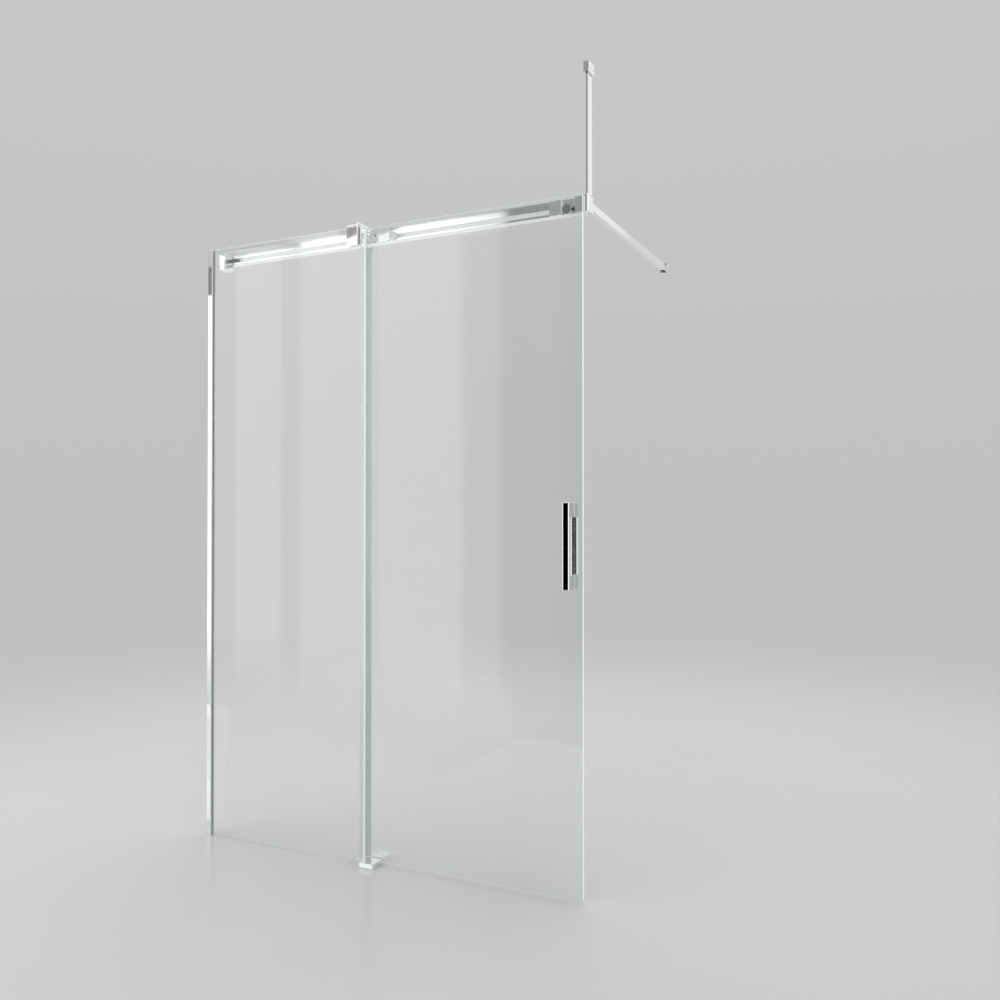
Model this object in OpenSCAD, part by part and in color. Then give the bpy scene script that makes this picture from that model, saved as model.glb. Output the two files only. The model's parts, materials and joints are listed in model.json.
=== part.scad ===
// Walk-in shower screen: a fixed glass at the wall and a glass door that slides along it.
// X runs from the wall along the screen, Y into the shower and Z up from the floor.
// The origin is on the wall and the floor, at the outer face of the fixed glass.

/* [Glass] */
// Height of the fixed glass above the floor
screen_h = 2000; // [1900:5:2100]
// Width of the fixed glass
fixed_glass_w = 634; // [600:1:700]
// Width of the door glass
door_glass_w = 734; // [700:1:900]
// Thickness of both glass sheets
glass_t = 8; // [6:0.5:10]
// How far the closed door reaches behind the fixed glass
glass_overlap = 18; // [15:1:30]
// Space between the fixed glass and the door glass
glass_gap = 28; // [26:0.5:34]
// Gap between the floor and the door glass
door_floor_gap = 8.2; // [7:0.1:12]
// How far the door slides open
door_travel = 585; // [500:1:590]

/* [Wall profile] */
// Width of the wall profile along the screen
profile_w = 17.5; // [14:0.5:30]
// Depth of the wall profile across the glass
profile_d = 22; // [18:0.5:30]
// Wall thickness of the profile's two sides
profile_side_t = 2; // [1.5:0.1:3]
// Thickness of the profile's base
profile_base_t = 2; // [1.5:0.1:3]
// Room between the profile's base and the glass edge
profile_edge_gap = 4; // [3:0.5:6]
// Distance from the profile's ends to its outer wall screws
profile_screw_in = 100; // [60:5:200]
// Distance between the inner pair of wall screws
profile_inner_pitch = 600; // [300:10:1000]
// Radius of the wall screw holes in the profile
profile_hole_r = 2.6; // [2:0.1:3]
// Thickness of the cap on top of the profile
profile_cap_t = 1.6; // [1:0.1:3]
// Length of the cap's peg inside the profile
profile_peg_h = 12; // [6:1:20]

/* [Rail] */
// Height of the rail
rail_h = 47; // [44:0.5:55]
// Depth of the rail
rail_d = 30; // [28:0.5:40]
// Space between the door glass and the rail
rail_gap = 8; // [7.8:0.1:12]
// How far the rail's top stands over the fixed glass
rail_rise = 3.5; // [2:0.5:8]
// Distance from the rail's top to the middle of its slot
slot_down = 33.5; // [32:0.5:34]
// Height of the slot's mouth
slot_h = 12; // [10:0.5:14]
// Thickness of the lips that hold the rollers in
rail_lip_t = 3; // [2:0.1:4]
// Thickness of the rail's inner webs and back
rail_web_t = 2.5; // [1.5:0.1:3]
// Thickness of the rail's top wall
rail_top_t = 3.5; // [2.5:0.1:5]
// Bevel on the rail's top edges
rail_bevel = 2.5; // [1:0.1:3]
// Bevel at the edges of the slot's mouth
mouth_bevel = 1.2; // [0.5:0.1:1.5]

/* [Rollers] */
// Diameter of a roller
roller_d = 19.5; // [18:0.1:21]
// Width of a roller
roller_w = 8; // [6:0.1:10]
// Outer diameter of a roller's bearing
bearing_d = 13; // [11:0.1:15]
// Diameter of an axle
axle_d = 6; // [5:0.1:6.5]
// Diameter of an axle's rear head and of its spacer
axle_head_d = 9; // [8:0.1:9.6]
// Thickness of an axle's rear head
axle_head_t = 1.6; // [1:0.1:2.5]

/* [Carriages] */
// Width of a carriage block
block_w = 37; // [34:0.5:46]
// Height of a carriage block
block_h = 43; // [40:0.5:46]
// Thickness of a carriage block
block_t = 6.5; // [6.2:0.1:6.8]
// How far a block reaches below the middle of the slot
block_below = 14.5; // [14:0.1:16]
// Thickness of the bonding pad between block and glass
pad_t = 0.5; // [0.3:0.1:0.6]
// Distance from the door's left edge to the left block
block_in_left = 40.5; // [36:0.5:50]
// Distance from the door's right edge to the right block
block_in_right = 67; // [66:0.5:90]
// Distance from a block's left edge to its inner roller
axle_in = 10; // [10:0.5:12]
// Distance from a block's right edge to its outer roller
axle_out = 16; // [15.5:0.5:17]
// Radius of the hanger plate's round end
hanger_r = 15; // [13:0.5:15]
// Thickness of the hanger plate
hanger_t = 4.2; // [3:0.1:4.4]
// Half height of the hanger plate inside the block
hanger_half_h = 10; // [8:0.5:11]
// How far the hanger can be raised in its block
adjust_room = 2.5; // [1.5:0.5:3]
// Radius of the polished cap on the hanger's round end
cap_r = 14; // [8:0.5:14.5]
// Thickness of that cap
cap_t = 1; // [0.6:0.1:1.2]
// Diameter of the height adjusting and lock screws
adjuster_d = 4; // [3:0.1:4]
// Diameter of the heads of those screws
adjuster_head_d = 6; // [5:0.1:6.2]
// Height of the heads of those screws
adjuster_head_h = 2; // [1.2:0.1:2.4]

/* [Rail stops] */
// Length of the left stop
stop_l = 36.5; // [20:0.5:36.5]
// Length of a rubber bumper
bumper_l = 10; // [6:0.5:14]
// Diameter of a rubber bumper
bumper_d = 12; // [8:0.5:12.5]
// Diameter of a stop's grub screw
stop_screw_d = 5; // [4:0.1:6]
// Distance from a stop's outer end to its grub screw
stop_screw_in = 5.5; // [4:0.5:8]

/* [Rail wall bracket] */
// Length of the bracket along the rail
bracket_w = 30.5; // [26:0.5:40]
// Depth of the bracket across the rail
bracket_d = 43; // [40:0.5:44]
// How far the bracket reaches below the rail
bracket_below = 12.5; // [6:0.5:16]
// How far the bracket reaches above the rail
bracket_above = 2.5; // [2:0.1:4]
// Thickness of the bracket's wall plate
bracket_plate_t = 4; // [3:0.1:6]
// Distance between the wall plate's screw holes
bracket_hole_pitch = 28; // [20:1:34]
// Radius of the wall plate's screw holes
bracket_hole_r = 2.6; // [2:0.1:3]
// Gap between the wall plate and the rail's end
bracket_end_gap = 4; // [3:0.5:6]

/* [Glass clamp] */
// Width of the clamp
clamp_w = 41; // [36:0.5:46]
// Distance from the fixed glass's free edge to the clamp
clamp_in = 21; // [20:0.5:30]
// How far the clamp reaches below the top of the glass
clamp_drop = 59; // [50:0.5:70]
// Thickness of the clamp's front plate
clamp_plate_t = 6; // [5:0.1:8]
// Thickness of the clamp's front gasket
clamp_front_gasket_t = 4; // [2:0.1:5]
// Thickness of the clamp's rear gasket
clamp_rear_gasket_t = 2; // [1:0.1:3]
// Thickness of the clamp's rear jaw
clamp_jaw_t = 9; // [8:0.1:11]
// How much the rear jaw is shorter than the front plate
clamp_jaw_short = 4; // [2:0.5:8]
// Thickness of the arm that bridges to the rail
arm_t = 7.5; // [6:0.1:10]
// Space between the rail's top and the arm
arm_gap = 2.5; // [2.2:0.1:5]
// Room between the top of the door glass and the arm
door_top_gap = 2.5; // [2:0.1:4]
// Diameter of the screw through the glass
clamp_screw_d = 8; // [6:0.1:8]
// Diameter of the hole in the glass for that screw
clamp_hole_d = 14; // [12:0.1:18]
// Distance from the top of the glass to that hole
clamp_hole_down = 30; // [26:0.5:34]
// Diameter of the two screws into the rail
foot_screw_d = 5; // [4:0.1:6]
// Distance between those two screws
foot_screw_pitch = 21; // [18:0.5:24]

/* [End block] */
// Length of the end block along the rail
end_block_w = 41; // [38:0.5:50]
// Depth of the end block across the rail
end_block_d = 42; // [40:0.5:43]
// Height of the end block
end_block_h = 53; // [52.5:0.5:60]
// How far the end block reaches past the door's edge
end_over = 13; // [10:0.5:18]
// How deep the rail goes into the end block
end_socket = 22; // [16:0.5:22.5]

/* [Ceiling post] */
// Height of the ceiling above the floor
ceiling_h = 2385; // [2250:5:2700]
// Width of the post along the screen
post_w = 9; // [8:0.1:10]
// Depth of the post across the screen
post_d = 32; // [28:0.5:34]
// Distance from the end block's outer face to the post
post_in = 1; // [0.5:0.1:2]
// Diameter of the stud between end block and post
post_stud_d = 5; // [4:0.1:6]
// Width of the ceiling sleeve
ceiling_sleeve_w = 18; // [18:0.5:26]
// Depth of the ceiling sleeve
ceiling_sleeve_d = 44; // [44:0.5:54]
// Height of the ceiling sleeve
ceiling_sleeve_h = 30; // [30:1:50]
// Distance between the ceiling screws
ceiling_hole_pitch = 26; // [20:1:30]

/* [Return bar] */
// Distance from the fixed glass's outer face to the facing wall
facing_wall = 850; // [700:5:1200]
// Width of the return bar
bar_w = 14.5; // [13:0.1:18]
// Height of the return bar
bar_h = 23; // [20:0.5:26]
// Wall thickness of the return bar
bar_wall = 1.5; // [1:0.1:2]
// Distance from the end block's outer face to the bar
bar_in = 0.5; // [0.5:0.1:2]
// How far the bar's middle lies below the rail's middle
bar_down = 1.5; // [0:0.5:4]
// Width of the sleeve at the facing wall
wall_sleeve_w = 25; // [25:0.5:34]
// Height of the sleeve at the facing wall
wall_sleeve_h = 34; // [33:0.5:44]
// Depth of the sleeve at the facing wall
wall_sleeve_d = 20; // [20:0.5:40]
// Distance between the screws in the facing wall
facing_hole_pitch = 17; // [14:0.5:18]

/* [Anchors of post and bar] */
// Wall thickness of both sleeves
sleeve_wall = 1.5; // [1.2:0.1:2.5]
// Thickness of both anchor plates
anchor_t = 3.5; // [2.5:0.1:5]
// Radius of the screw holes in both anchor plates
anchor_hole_r = 2.1; // [1.6:0.1:2.6]
// Room for screw heads between anchor and bar end
anchor_head_room = 5; // [4:0.5:8]

/* [Floor guide] */
// Length of the guide along the screen
guide_w = 50; // [38:1:60]
// Height of the guide
guide_h = 16; // [13:0.5:18]
// How far the guide reaches in front of the fixed glass
guide_front = 20; // [10:0.5:25]
// How far the guide grips past the fixed glass's edge
guide_bite = 4; // [3:0.5:8]
// Thickness of the guide's base
guide_base_t = 3; // [2.5:0.1:4]
// Length of the guide's rear jaw
jaw_w = 31; // [29:0.5:34]
// Depth of the guide's rear jaw
jaw_d = 14.5; // [12:0.5:20]
// Thickness of the guide's liner
liner_t = 1; // [0.8:0.1:1.5]
// Distance between the floor screws
floor_hole_pitch = 20; // [16:1:22]
// Radius of the floor screw holes
floor_hole_r = 2.1; // [1.6:0.1:2.6]

/* [Door handle] */
// Width of the handle's bar
handle_w = 20; // [16:0.5:26]
// Length of the handle
handle_l = 248; // [200:1:400]
// Height of the handle's middle above the floor
handle_mid = 1005.5; // [900:0.5:1150]
// Distance from the door's free edge to the handle
handle_in = 28.5; // [20:0.5:60]
// Distance from the glass to the handle's outer face
handle_reach = 34; // [32:0.5:46]
// Thickness of the handle's bar
handle_t = 8; // [6:0.1:10]
// Height of each of the handle's legs
leg_h = 42; // [30:0.5:50]
// Bevel on the edges of the handle's bar
handle_bevel = 2; // [0.8:0.1:2.4]
// Thickness of the washer under each leg
washer_t = 1; // [0.6:0.1:2]
// Diameter of the studs that join the two handles
stud_d = 6; // [5:0.1:8]
// Depth to which a stud goes into a leg
stud_depth = 13; // [8:0.5:16]
// Diameter of the stud holes in the glass
handle_hole_d = 10; // [9.5:0.1:14]

/* [Door seal] */
// How far the seal's clip reaches over the glass
seal_clip_w = 18; // [10:0.5:22]
// Wall thickness of the seal
seal_t = 1; // [0.8:0.1:1.2]

/* [Hidden] */
$fn = 64;
over = 1;               // how far a cut runs past the solid
slide_fit = 0.15;       // clearance of a piece that is pushed into another
bore_fit = 0.05;        // radial clearance of a pin, screw or bearing in its hole
light_gap = 0.3;        // gap between a piece and the one that it only just clears
edge = 1;               // bevel on the edges of the metal blocks
hex_r = 1.6;            // radius of a small hexagon socket
hex_depth = 2;          // depth of a small hexagon socket
grub_d = 4;             // diameter of the grub screws
mid_y = glass_t / 2;    // middle of the fixed glass

fixed_x0 = profile_base_t + profile_edge_gap;
fixed_x1 = fixed_x0 + fixed_glass_w;
door_x0 = fixed_x1 - glass_overlap;
door_x1 = door_x0 + door_glass_w;
door_y0 = glass_t + glass_gap;
door_y1 = door_y0 + glass_t;

rail_y0 = door_y1 + rail_gap;
rail_y1 = rail_y0 + rail_d;
rail_mid_y = rail_y0 + rail_d / 2;
rail_z1 = screen_h + rail_rise;
rail_z0 = rail_z1 - rail_h;
rail_mid_z = rail_z0 + rail_h / 2;
slot_z = rail_z1 - slot_down;
end_x1 = door_x1 + end_over;
end_x0 = end_x1 - end_block_w;
rail_x0 = bracket_plate_t + bracket_end_gap;
rail_x1 = end_x0 + end_socket;

roller_r = roller_d / 2;
roller_under = 0.25;    // gap between a roller and its track
roller_over = 0.75;     // gap between a roller and the chamber's roof
roller_side = 1;        // gap between a roller and the rail's lips
axle_play = 0.2;        // play of a roller along its axle
roller_y0 = rail_y0 + rail_lip_t + roller_side;
roller_y1 = roller_y0 + roller_w;
axle_y1 = roller_y1 + axle_play + axle_head_t;
chamber_z0 = slot_z - roller_r - roller_under;
chamber_z1 = slot_z + roller_r + roller_over;
chamber_y0 = rail_y0 + rail_lip_t;
chamber_y1 = axle_y1 + 2.2;
roof_z0 = chamber_z1 + rail_web_t;
roof_z1 = rail_z1 - rail_top_t;

arm_z0 = rail_z1 + arm_gap;
arm_z1 = arm_z0 + arm_t;
door_z1 = arm_z0 - door_top_gap;
clamp_x1 = fixed_x1 - clamp_in;
clamp_x0 = clamp_x1 - clamp_w;
clamp_mid = (clamp_x0 + clamp_x1) / 2;
clamp_z0 = screen_h - clamp_drop;
clamp_y0 = -clamp_front_gasket_t - clamp_plate_t;
clamp_hole_z = screen_h - clamp_hole_down;
jaw_y0 = glass_t + clamp_rear_gasket_t;
jaw_y1 = jaw_y0 + clamp_jaw_t;
clamp_jaw_z0 = clamp_z0 + clamp_jaw_short;
clamp_head_r = clamp_screw_d * 0.8;
clamp_head_h = 4;
clamp_thread_depth = clamp_plate_t - 2;
foot_x = [clamp_mid - foot_screw_pitch / 2, clamp_mid + foot_screw_pitch / 2];
foot_head_h = 3;
nut_plate_t = 4;
nut_plate_d = 14;

block_y0 = door_y1 + pad_t;
block_y1 = block_y0 + block_t;
block_z0 = slot_z - block_below;
block_z1 = block_z0 + block_h;
left_block_x = door_x0 + block_in_left;
right_block_x = door_x1 - block_in_right - block_w;
block_x = [left_block_x, right_block_x];
hanger_y1 = block_y1 - light_gap;
hanger_y0 = hanger_y1 - hanger_t;
pocket_y0 = hanger_y0 - light_gap;
pocket_x = 4;           // distance from a block's left edge to its pocket
hanger_x = pocket_x + light_gap;
adjuster_x = block_w / 2;
adjuster_y = block_y1 - block_t / 2;
roller_x = [
    left_block_x + axle_in, left_block_x + block_w + axle_out,
    right_block_x + axle_in, right_block_x + block_w + axle_out
];

bumper_left_x1 = roller_x[0] - roller_r - door_travel - light_gap;
bumper_right_x0 = roller_x[3] + roller_r + light_gap;
stop_x0 = max(bracket_w + light_gap, bumper_left_x1 - bumper_l - stop_l);
stop_x1 = rail_x1;

bracket_z0 = rail_z0 - bracket_below;
bracket_z1 = rail_z1 + bracket_above;
bracket_round = 3;      // radius of the bracket's free upright edges
bracket_inset = 4;      // how far the wall plate stays inside the bracket's outline
bracket_grub_x = (rail_x0 + bracket_w) / 2;
rail_grub_z = [rail_mid_z - 12, rail_mid_z + 12];

end_z0 = rail_mid_z - end_block_h / 2 + 0.5;
end_z1 = end_z0 + end_block_h;
end_y0 = rail_mid_y - end_block_d / 2;
end_y1 = rail_mid_y + end_block_d / 2;
post_x0 = end_x1 - post_in - post_w;
post_mid_x = post_x0 + post_w / 2;
post_z1 = ceiling_h - anchor_t - anchor_head_room;
ceiling_sleeve_z0 = ceiling_h - ceiling_sleeve_h;
ceiling_grub_y = [rail_mid_y - post_d / 4, rail_mid_y + post_d / 4];
ceiling_grub_z = ceiling_sleeve_z0 + 10;
post_stud_half = 14;    // how far the stud reaches into the post and into the end block

bar_x1 = end_x1 - bar_in;
bar_x0 = bar_x1 - bar_w;
bar_mid_x = bar_x1 - bar_w / 2;
bar_mid_z = rail_mid_z - bar_down;
bar_y1 = facing_wall - anchor_t - anchor_head_room;
wall_sleeve_y0 = facing_wall - wall_sleeve_d;
wall_grub_z = [bar_mid_z - bar_h / 4, bar_mid_z + bar_h / 4];
wall_grub_y = wall_sleeve_y0 + 7;
spigot_l = 16;          // length of the end block's spigot inside the return bar
spigot_grub_in = 8;     // distance from the end block to the grub screw in the spigot
lug_t = 3;              // thickness of the lugs on the two anchors
lug_l = 12;             // length of those lugs
sleeve_floor_t = 2;     // thickness of the sleeves' slotted ends

guide_x0 = fixed_x1 - guide_bite;
guide_x1 = guide_x0 + guide_w;
guide_mid_x = (guide_x0 + guide_x1) / 2;
door_side_gap = 0.5;    // gap between the door glass and the guide's liner
liner_y0 = door_y0 - door_side_gap - liner_t;
liner_y1 = door_y1 + door_side_gap + liner_t;
guide_jaw_x0 = guide_mid_x - jaw_w / 2 - 1.5;
liner_hole_r = floor_hole_r + 1.4;
jaw_round = 5;          // radius of the rear jaw's free upright edges
guide_screw_r = 1.5;
guide_head_r = 2.8;
guide_head_h = 1.5;
guide_screw_top = guide_h - 3;
guide_screws_at = [
    [guide_mid_x - 10, liner_y0 / 2], [guide_mid_x + 10, liner_y0 / 2],
    [guide_jaw_x0 + jaw_w / 2, liner_y1 + jaw_d / 2]
];

handle_x1 = door_x1 - handle_in;
handle_x0 = handle_x1 - handle_w;
handle_mid_x = handle_x1 - handle_w / 2;
handle_z0 = handle_mid - handle_l / 2;
handle_z1 = handle_mid + handle_l / 2;
leg_z = [handle_z0 + leg_h / 2, handle_z1 - leg_h / 2];

seal_z0 = guide_h + 1;
seal_z1 = clamp_z0 - 1;
seal_tip_gap = 0.4;     // gap between the seal's lip and the fixed glass

chrome = [0.86, 0.87, 0.89];
polished = [0.78, 0.79, 0.81];
steel = [0.62, 0.63, 0.65];
glass = [0.80, 0.90, 0.88, 0.35];
clear_plastic = [0.88, 0.90, 0.92, 0.6];
black_rubber = [0.08, 0.08, 0.09];
black_plastic = [0.10, 0.10, 0.11];
white_plastic = [0.92, 0.92, 0.90];

// A box given by its lowest and highest corner
module span(low, high) {
    translate(low) cube(high - low);
}

// A rectangle with its corners cut off
module chamfered(w, h, b) {
    polygon([
        [b, 0], [w - b, 0], [w, b], [w, h - b],
        [w - b, h], [b, h], [0, h - b], [0, b]
    ]);
}

// A box with all its edges bevelled, given by its lowest and highest corner
module bevelled(low, high, b) {
    size = high - low;
    translate(low) intersection() {
        linear_extrude(size.z) chamfered(size.x, size.y, b);
        translate([0, size.y, 0]) rotate([90, 0, 0])
            linear_extrude(size.y) chamfered(size.x, size.z, b);
        rotate([90, 0, 90]) linear_extrude(size.x) chamfered(size.y, size.z, b);
    }
}

// Round rods along the three axes, from one end to the other
module rod_x(x0, x1, y, z, r) {
    translate([x0, y, z]) rotate([0, 90, 0]) cylinder(h = x1 - x0, r = r);
}

module rod_y(x, y0, y1, z, r) {
    translate([x, y0, z]) rotate([-90, 0, 0]) cylinder(h = y1 - y0, r = r);
}

module rod_z(x, y, z0, z1, r) {
    translate([x, y, z0]) cylinder(h = z1 - z0, r = r);
}

// A hexagon socket at the end of a rod, to be cut out of it
module hex_x(x, y, z) {
    translate([x, y, z]) rotate([0, 90, 0]) cylinder(h = hex_depth, r = hex_r, $fn = 6);
}

module hex_y(x, y, z) {
    translate([x, y, z]) rotate([-90, 0, 0]) cylinder(h = hex_depth, r = hex_r, $fn = 6);
}

module hex_z(x, y, z) {
    translate([x, y, z]) cylinder(h = hex_depth, r = hex_r, $fn = 6);
}

// Wall side

module wall_profile() {
    y0 = mid_y - profile_d / 2;
    mid_z = screen_h / 2;
    screw_z = [
        profile_screw_in, mid_z - profile_inner_pitch / 2,
        mid_z + profile_inner_pitch / 2, screen_h - profile_screw_in
    ];
    color(chrome) difference() {
        translate([0, y0, 0]) linear_extrude(screen_h) chamfered_front(profile_w, profile_d);
        span([profile_base_t, y0 + profile_side_t, -over],
             [profile_w + over, y0 + profile_d - profile_side_t, screen_h + over]);
        for (z = screw_z)
            rod_x(-over, profile_base_t + over, mid_y, z, profile_hole_r);
    }
}

// The wall profile's outline: square at the wall, with its two free corners cut off
module chamfered_front(w, d) {
    b = 0.6;
    polygon([[0, 0], [w - b, 0], [w, b], [w, d - b], [w - b, d], [0, d]]);
}

module profile_cap() {
    y0 = mid_y - profile_d / 2;
    inner_y0 = y0 + profile_side_t + slide_fit;
    inner_y1 = y0 + profile_d - profile_side_t - slide_fit;
    color(chrome) {
        span([0, y0, screen_h], [profile_w, y0 + profile_d, screen_h + profile_cap_t]);
        span([profile_base_t + slide_fit, inner_y0, screen_h - profile_peg_h],
             [fixed_x0 - slide_fit, inner_y1, screen_h]);
    }
}

module profile_gaskets() {
    y0 = mid_y - profile_d / 2 + profile_side_t;
    y1 = mid_y + profile_d / 2 - profile_side_t;
    color(clear_plastic) {
        span([fixed_x0 + 1, y0, 0], [profile_w, 0, screen_h]);
        span([fixed_x0 + 1, glass_t, 0], [profile_w, y1, screen_h]);
    }
}

module fixed_glass() {
    color(glass) difference() {
        bevelled([fixed_x0, 0, 0], [fixed_x1, glass_t, screen_h], 0.5);
        rod_y(clamp_mid, -over, glass_t + over, clamp_hole_z, clamp_hole_d / 2);
    }
}

// Rail and what holds its ends

module rail_bracket_plate() {
    inset = bracket_inset;
    color(steel) difference() {
        span([0, rail_mid_y - bracket_d / 2 + inset, bracket_z0 + inset],
             [bracket_plate_t, rail_mid_y + bracket_d / 2 - inset, bracket_z1 - inset]);
        for (s = [-1, 1])
            rod_x(-over, bracket_plate_t + over, rail_mid_y,
                  rail_mid_z + s * bracket_hole_pitch / 2, bracket_hole_r);
    }
}

module rail_bracket_body() {
    y0 = rail_mid_y - bracket_d / 2;
    fit = slide_fit;
    inset = bracket_inset - fit;
    color(chrome) difference() {
        intersection() {
            translate([0, y0, bracket_z0]) linear_extrude(bracket_z1 - bracket_z0)
                rounded_end(bracket_w, bracket_d, bracket_round);
            translate([0, y0, bracket_z0]) rotate([90, 0, 90]) linear_extrude(bracket_w)
                chamfered(bracket_d, bracket_z1 - bracket_z0, edge);
        }
        span([-over, y0 + inset, bracket_z0 + inset],
             [bracket_plate_t + fit, y0 + bracket_d - inset, bracket_z1 - inset]);
        span([-over, rail_y0 - fit, rail_z0 - fit],
             [bracket_w + over, rail_y1 + fit, rail_z1 + fit]);
        for (z = rail_grub_z)
            rod_y(bracket_grub_x, rail_y1 - over, y0 + bracket_d + over, z,
                  grub_d / 2 + bore_fit);
    }
}

// A block's outline: square at the wall, with its two free corners rounded
module rounded_end(w, d, r) {
    square([w - r, d]);
    translate([0, r]) square([w, d - 2 * r]);
    for (y = [r, d - r]) translate([w - r, y]) circle(r);
}

// A grub screw that presses on the rail's back from a block that holds its end
module rail_grub(x, z, y_out) {
    difference() {
        rod_y(x, rail_y1, y_out, z, grub_d / 2);
        hex_y(x, y_out - hex_depth + 0.01, z);
    }
}

module rail_bracket_grubs() {
    color(steel) for (z = rail_grub_z)
        rail_grub(bracket_grub_x, z, rail_mid_y + bracket_d / 2 - light_gap);
}

// The rail's section: depth to the right and height up, from its lower front corner
module rail_section() {
    mouth_z0 = slot_z - slot_h / 2 - rail_z0;
    mouth_z1 = slot_z + slot_h / 2 - rail_z0;
    front = chamber_y0 - rail_y0;
    back = chamber_y1 - rail_y0;
    b = mouth_bevel;
    difference() {
        polygon([
            [edge, 0], [rail_d - edge, 0], [rail_d, edge], [rail_d, rail_h - rail_bevel],
            [rail_d - rail_bevel, rail_h], [rail_bevel, rail_h], [0, rail_h - rail_bevel],
            [0, mouth_z1 + b], [b, mouth_z1], [front, mouth_z1],
            [front, chamber_z1 - rail_z0], [back, chamber_z1 - rail_z0],
            [back, chamber_z0 - rail_z0], [front, chamber_z0 - rail_z0],
            [front, mouth_z0], [b, mouth_z0], [0, mouth_z0 - b], [0, edge]
        ]);
        translate([rail_web_t, roof_z0 - rail_z0])
            square([rail_d - 2 * rail_web_t, roof_z1 - roof_z0]);
        translate([back + rail_web_t, rail_web_t])
            square([rail_d - back - 2 * rail_web_t, chamber_z1 - rail_z0 - rail_web_t]);
    }
}

module rail() {
    color(polished) difference() {
        translate([rail_x0, rail_y0, rail_z0]) rotate([90, 0, 90])
            linear_extrude(rail_x1 - rail_x0) rail_section();
        for (x = foot_x)
            rod_z(x, rail_mid_y, roof_z1 - over, rail_z1 + over, foot_screw_d / 2 + bore_fit);
    }
}

// A stop fills the rail's chamber; its grub screw presses it against the chamber's back
module rail_stop(x0, x1, screw_x) {
    difference() {
        bevelled([x0, chamber_y0 + slide_fit, chamber_z0 + slide_fit],
                 [x1, chamber_y1 - slide_fit, chamber_z1 - slide_fit], 0.5);
        rod_y(screw_x, chamber_y0 - over, chamber_y1 + over, slot_z,
              stop_screw_d / 2 + bore_fit);
    }
}

module rail_stop_left() {
    color(black_plastic) rail_stop(stop_x0, bumper_left_x1 - bumper_l, stop_x0 + stop_screw_in);
}

module rail_stop_right() {
    color(black_plastic) rail_stop(bumper_right_x0 + bumper_l, stop_x1, stop_x1 - stop_screw_in);
}

module rail_bumpers() {
    y = (chamber_y0 + chamber_y1) / 2;
    color(black_rubber) for (x = [bumper_left_x1 - bumper_l, bumper_right_x0])
        rod_x(x, x + bumper_l, y, slot_z, bumper_d / 2);
}

module rail_stop_screws() {
    color(steel) for (x = [stop_x0 + stop_screw_in, stop_x1 - stop_screw_in]) difference() {
        rod_y(x, chamber_y0 - rail_lip_t / 2, chamber_y1, slot_z, stop_screw_d / 2);
        hex_y(x, chamber_y0 - rail_lip_t / 2 - 0.01, slot_z);
    }
}

module end_block() {
    fit = slide_fit;
    spigot_w = bar_w - 2 * bar_wall - 2 * fit;
    spigot_h = bar_h - 2 * bar_wall - 2 * fit;
    color(chrome) difference() {
        union() {
            bevelled([end_x0, end_y0, end_z0], [end_x1, end_y1, end_z1], edge * 2);
            span([bar_mid_x - spigot_w / 2, end_y1 - over, bar_mid_z - spigot_h / 2],
                 [bar_mid_x + spigot_w / 2, end_y1 + spigot_l, bar_mid_z + spigot_h / 2]);
        }
        span([end_x0 - over, rail_y0 - fit, rail_z0 - fit],
             [rail_x1 + fit, rail_y1 + fit, rail_z1 + fit]);
        for (z = rail_grub_z)
            rod_y(end_x0 + end_socket / 2, rail_y1 - over, end_y1 + over, z,
                  grub_d / 2 + bore_fit);
        rod_z(post_mid_x, rail_mid_y, end_z1 - post_stud_half, end_z1 + over,
              post_stud_d / 2 + bore_fit);
        rod_z(bar_mid_x, end_y1 + spigot_grub_in, bar_mid_z - spigot_h, bar_mid_z,
              grub_d / 2 + bore_fit);
    }
}

module end_block_grubs() {
    color(steel) for (z = rail_grub_z)
        rail_grub(end_x0 + end_socket / 2, z, end_y1 - light_gap);
}

// Clamp between the fixed glass and the rail

module clamp_body() {
    foot_root = 1.5;
    color(chrome) difference() {
        union() {
            bevelled([clamp_x0, clamp_y0, clamp_z0],
                     [clamp_x1, -clamp_front_gasket_t, arm_z1], edge);
            bevelled([clamp_x0, clamp_y0, arm_z0], [clamp_x1, rail_y1, arm_z1], edge);
            span([clamp_x0 + edge, rail_y0 + rail_bevel, rail_z1],
                 [clamp_x1 - edge, rail_y1 - rail_bevel, arm_z0 + foot_root]);
        }
        rod_y(clamp_mid, -clamp_front_gasket_t - clamp_thread_depth, 0, clamp_hole_z,
              clamp_screw_d / 2 + bore_fit);
        for (x = foot_x) {
            rod_z(x, rail_mid_y, rail_z1 - over, arm_z1 + over, foot_screw_d / 2 + bore_fit);
            rod_z(x, rail_mid_y, arm_z1 - foot_head_h - bore_fit, arm_z1 + over,
                  foot_screw_d + bore_fit);
        }
    }
}

module clamp_rear_jaw() {
    color(chrome) difference() {
        bevelled([clamp_x0, jaw_y0, clamp_jaw_z0], [clamp_x1, jaw_y1, arm_z0], edge);
        rod_y(clamp_mid, jaw_y0 - over, jaw_y1 + over, clamp_hole_z,
              clamp_screw_d / 2 + bore_fit);
        rod_y(clamp_mid, jaw_y1 - clamp_head_h, jaw_y1 + over, clamp_hole_z,
              clamp_head_r + bore_fit);
    }
}

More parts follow.
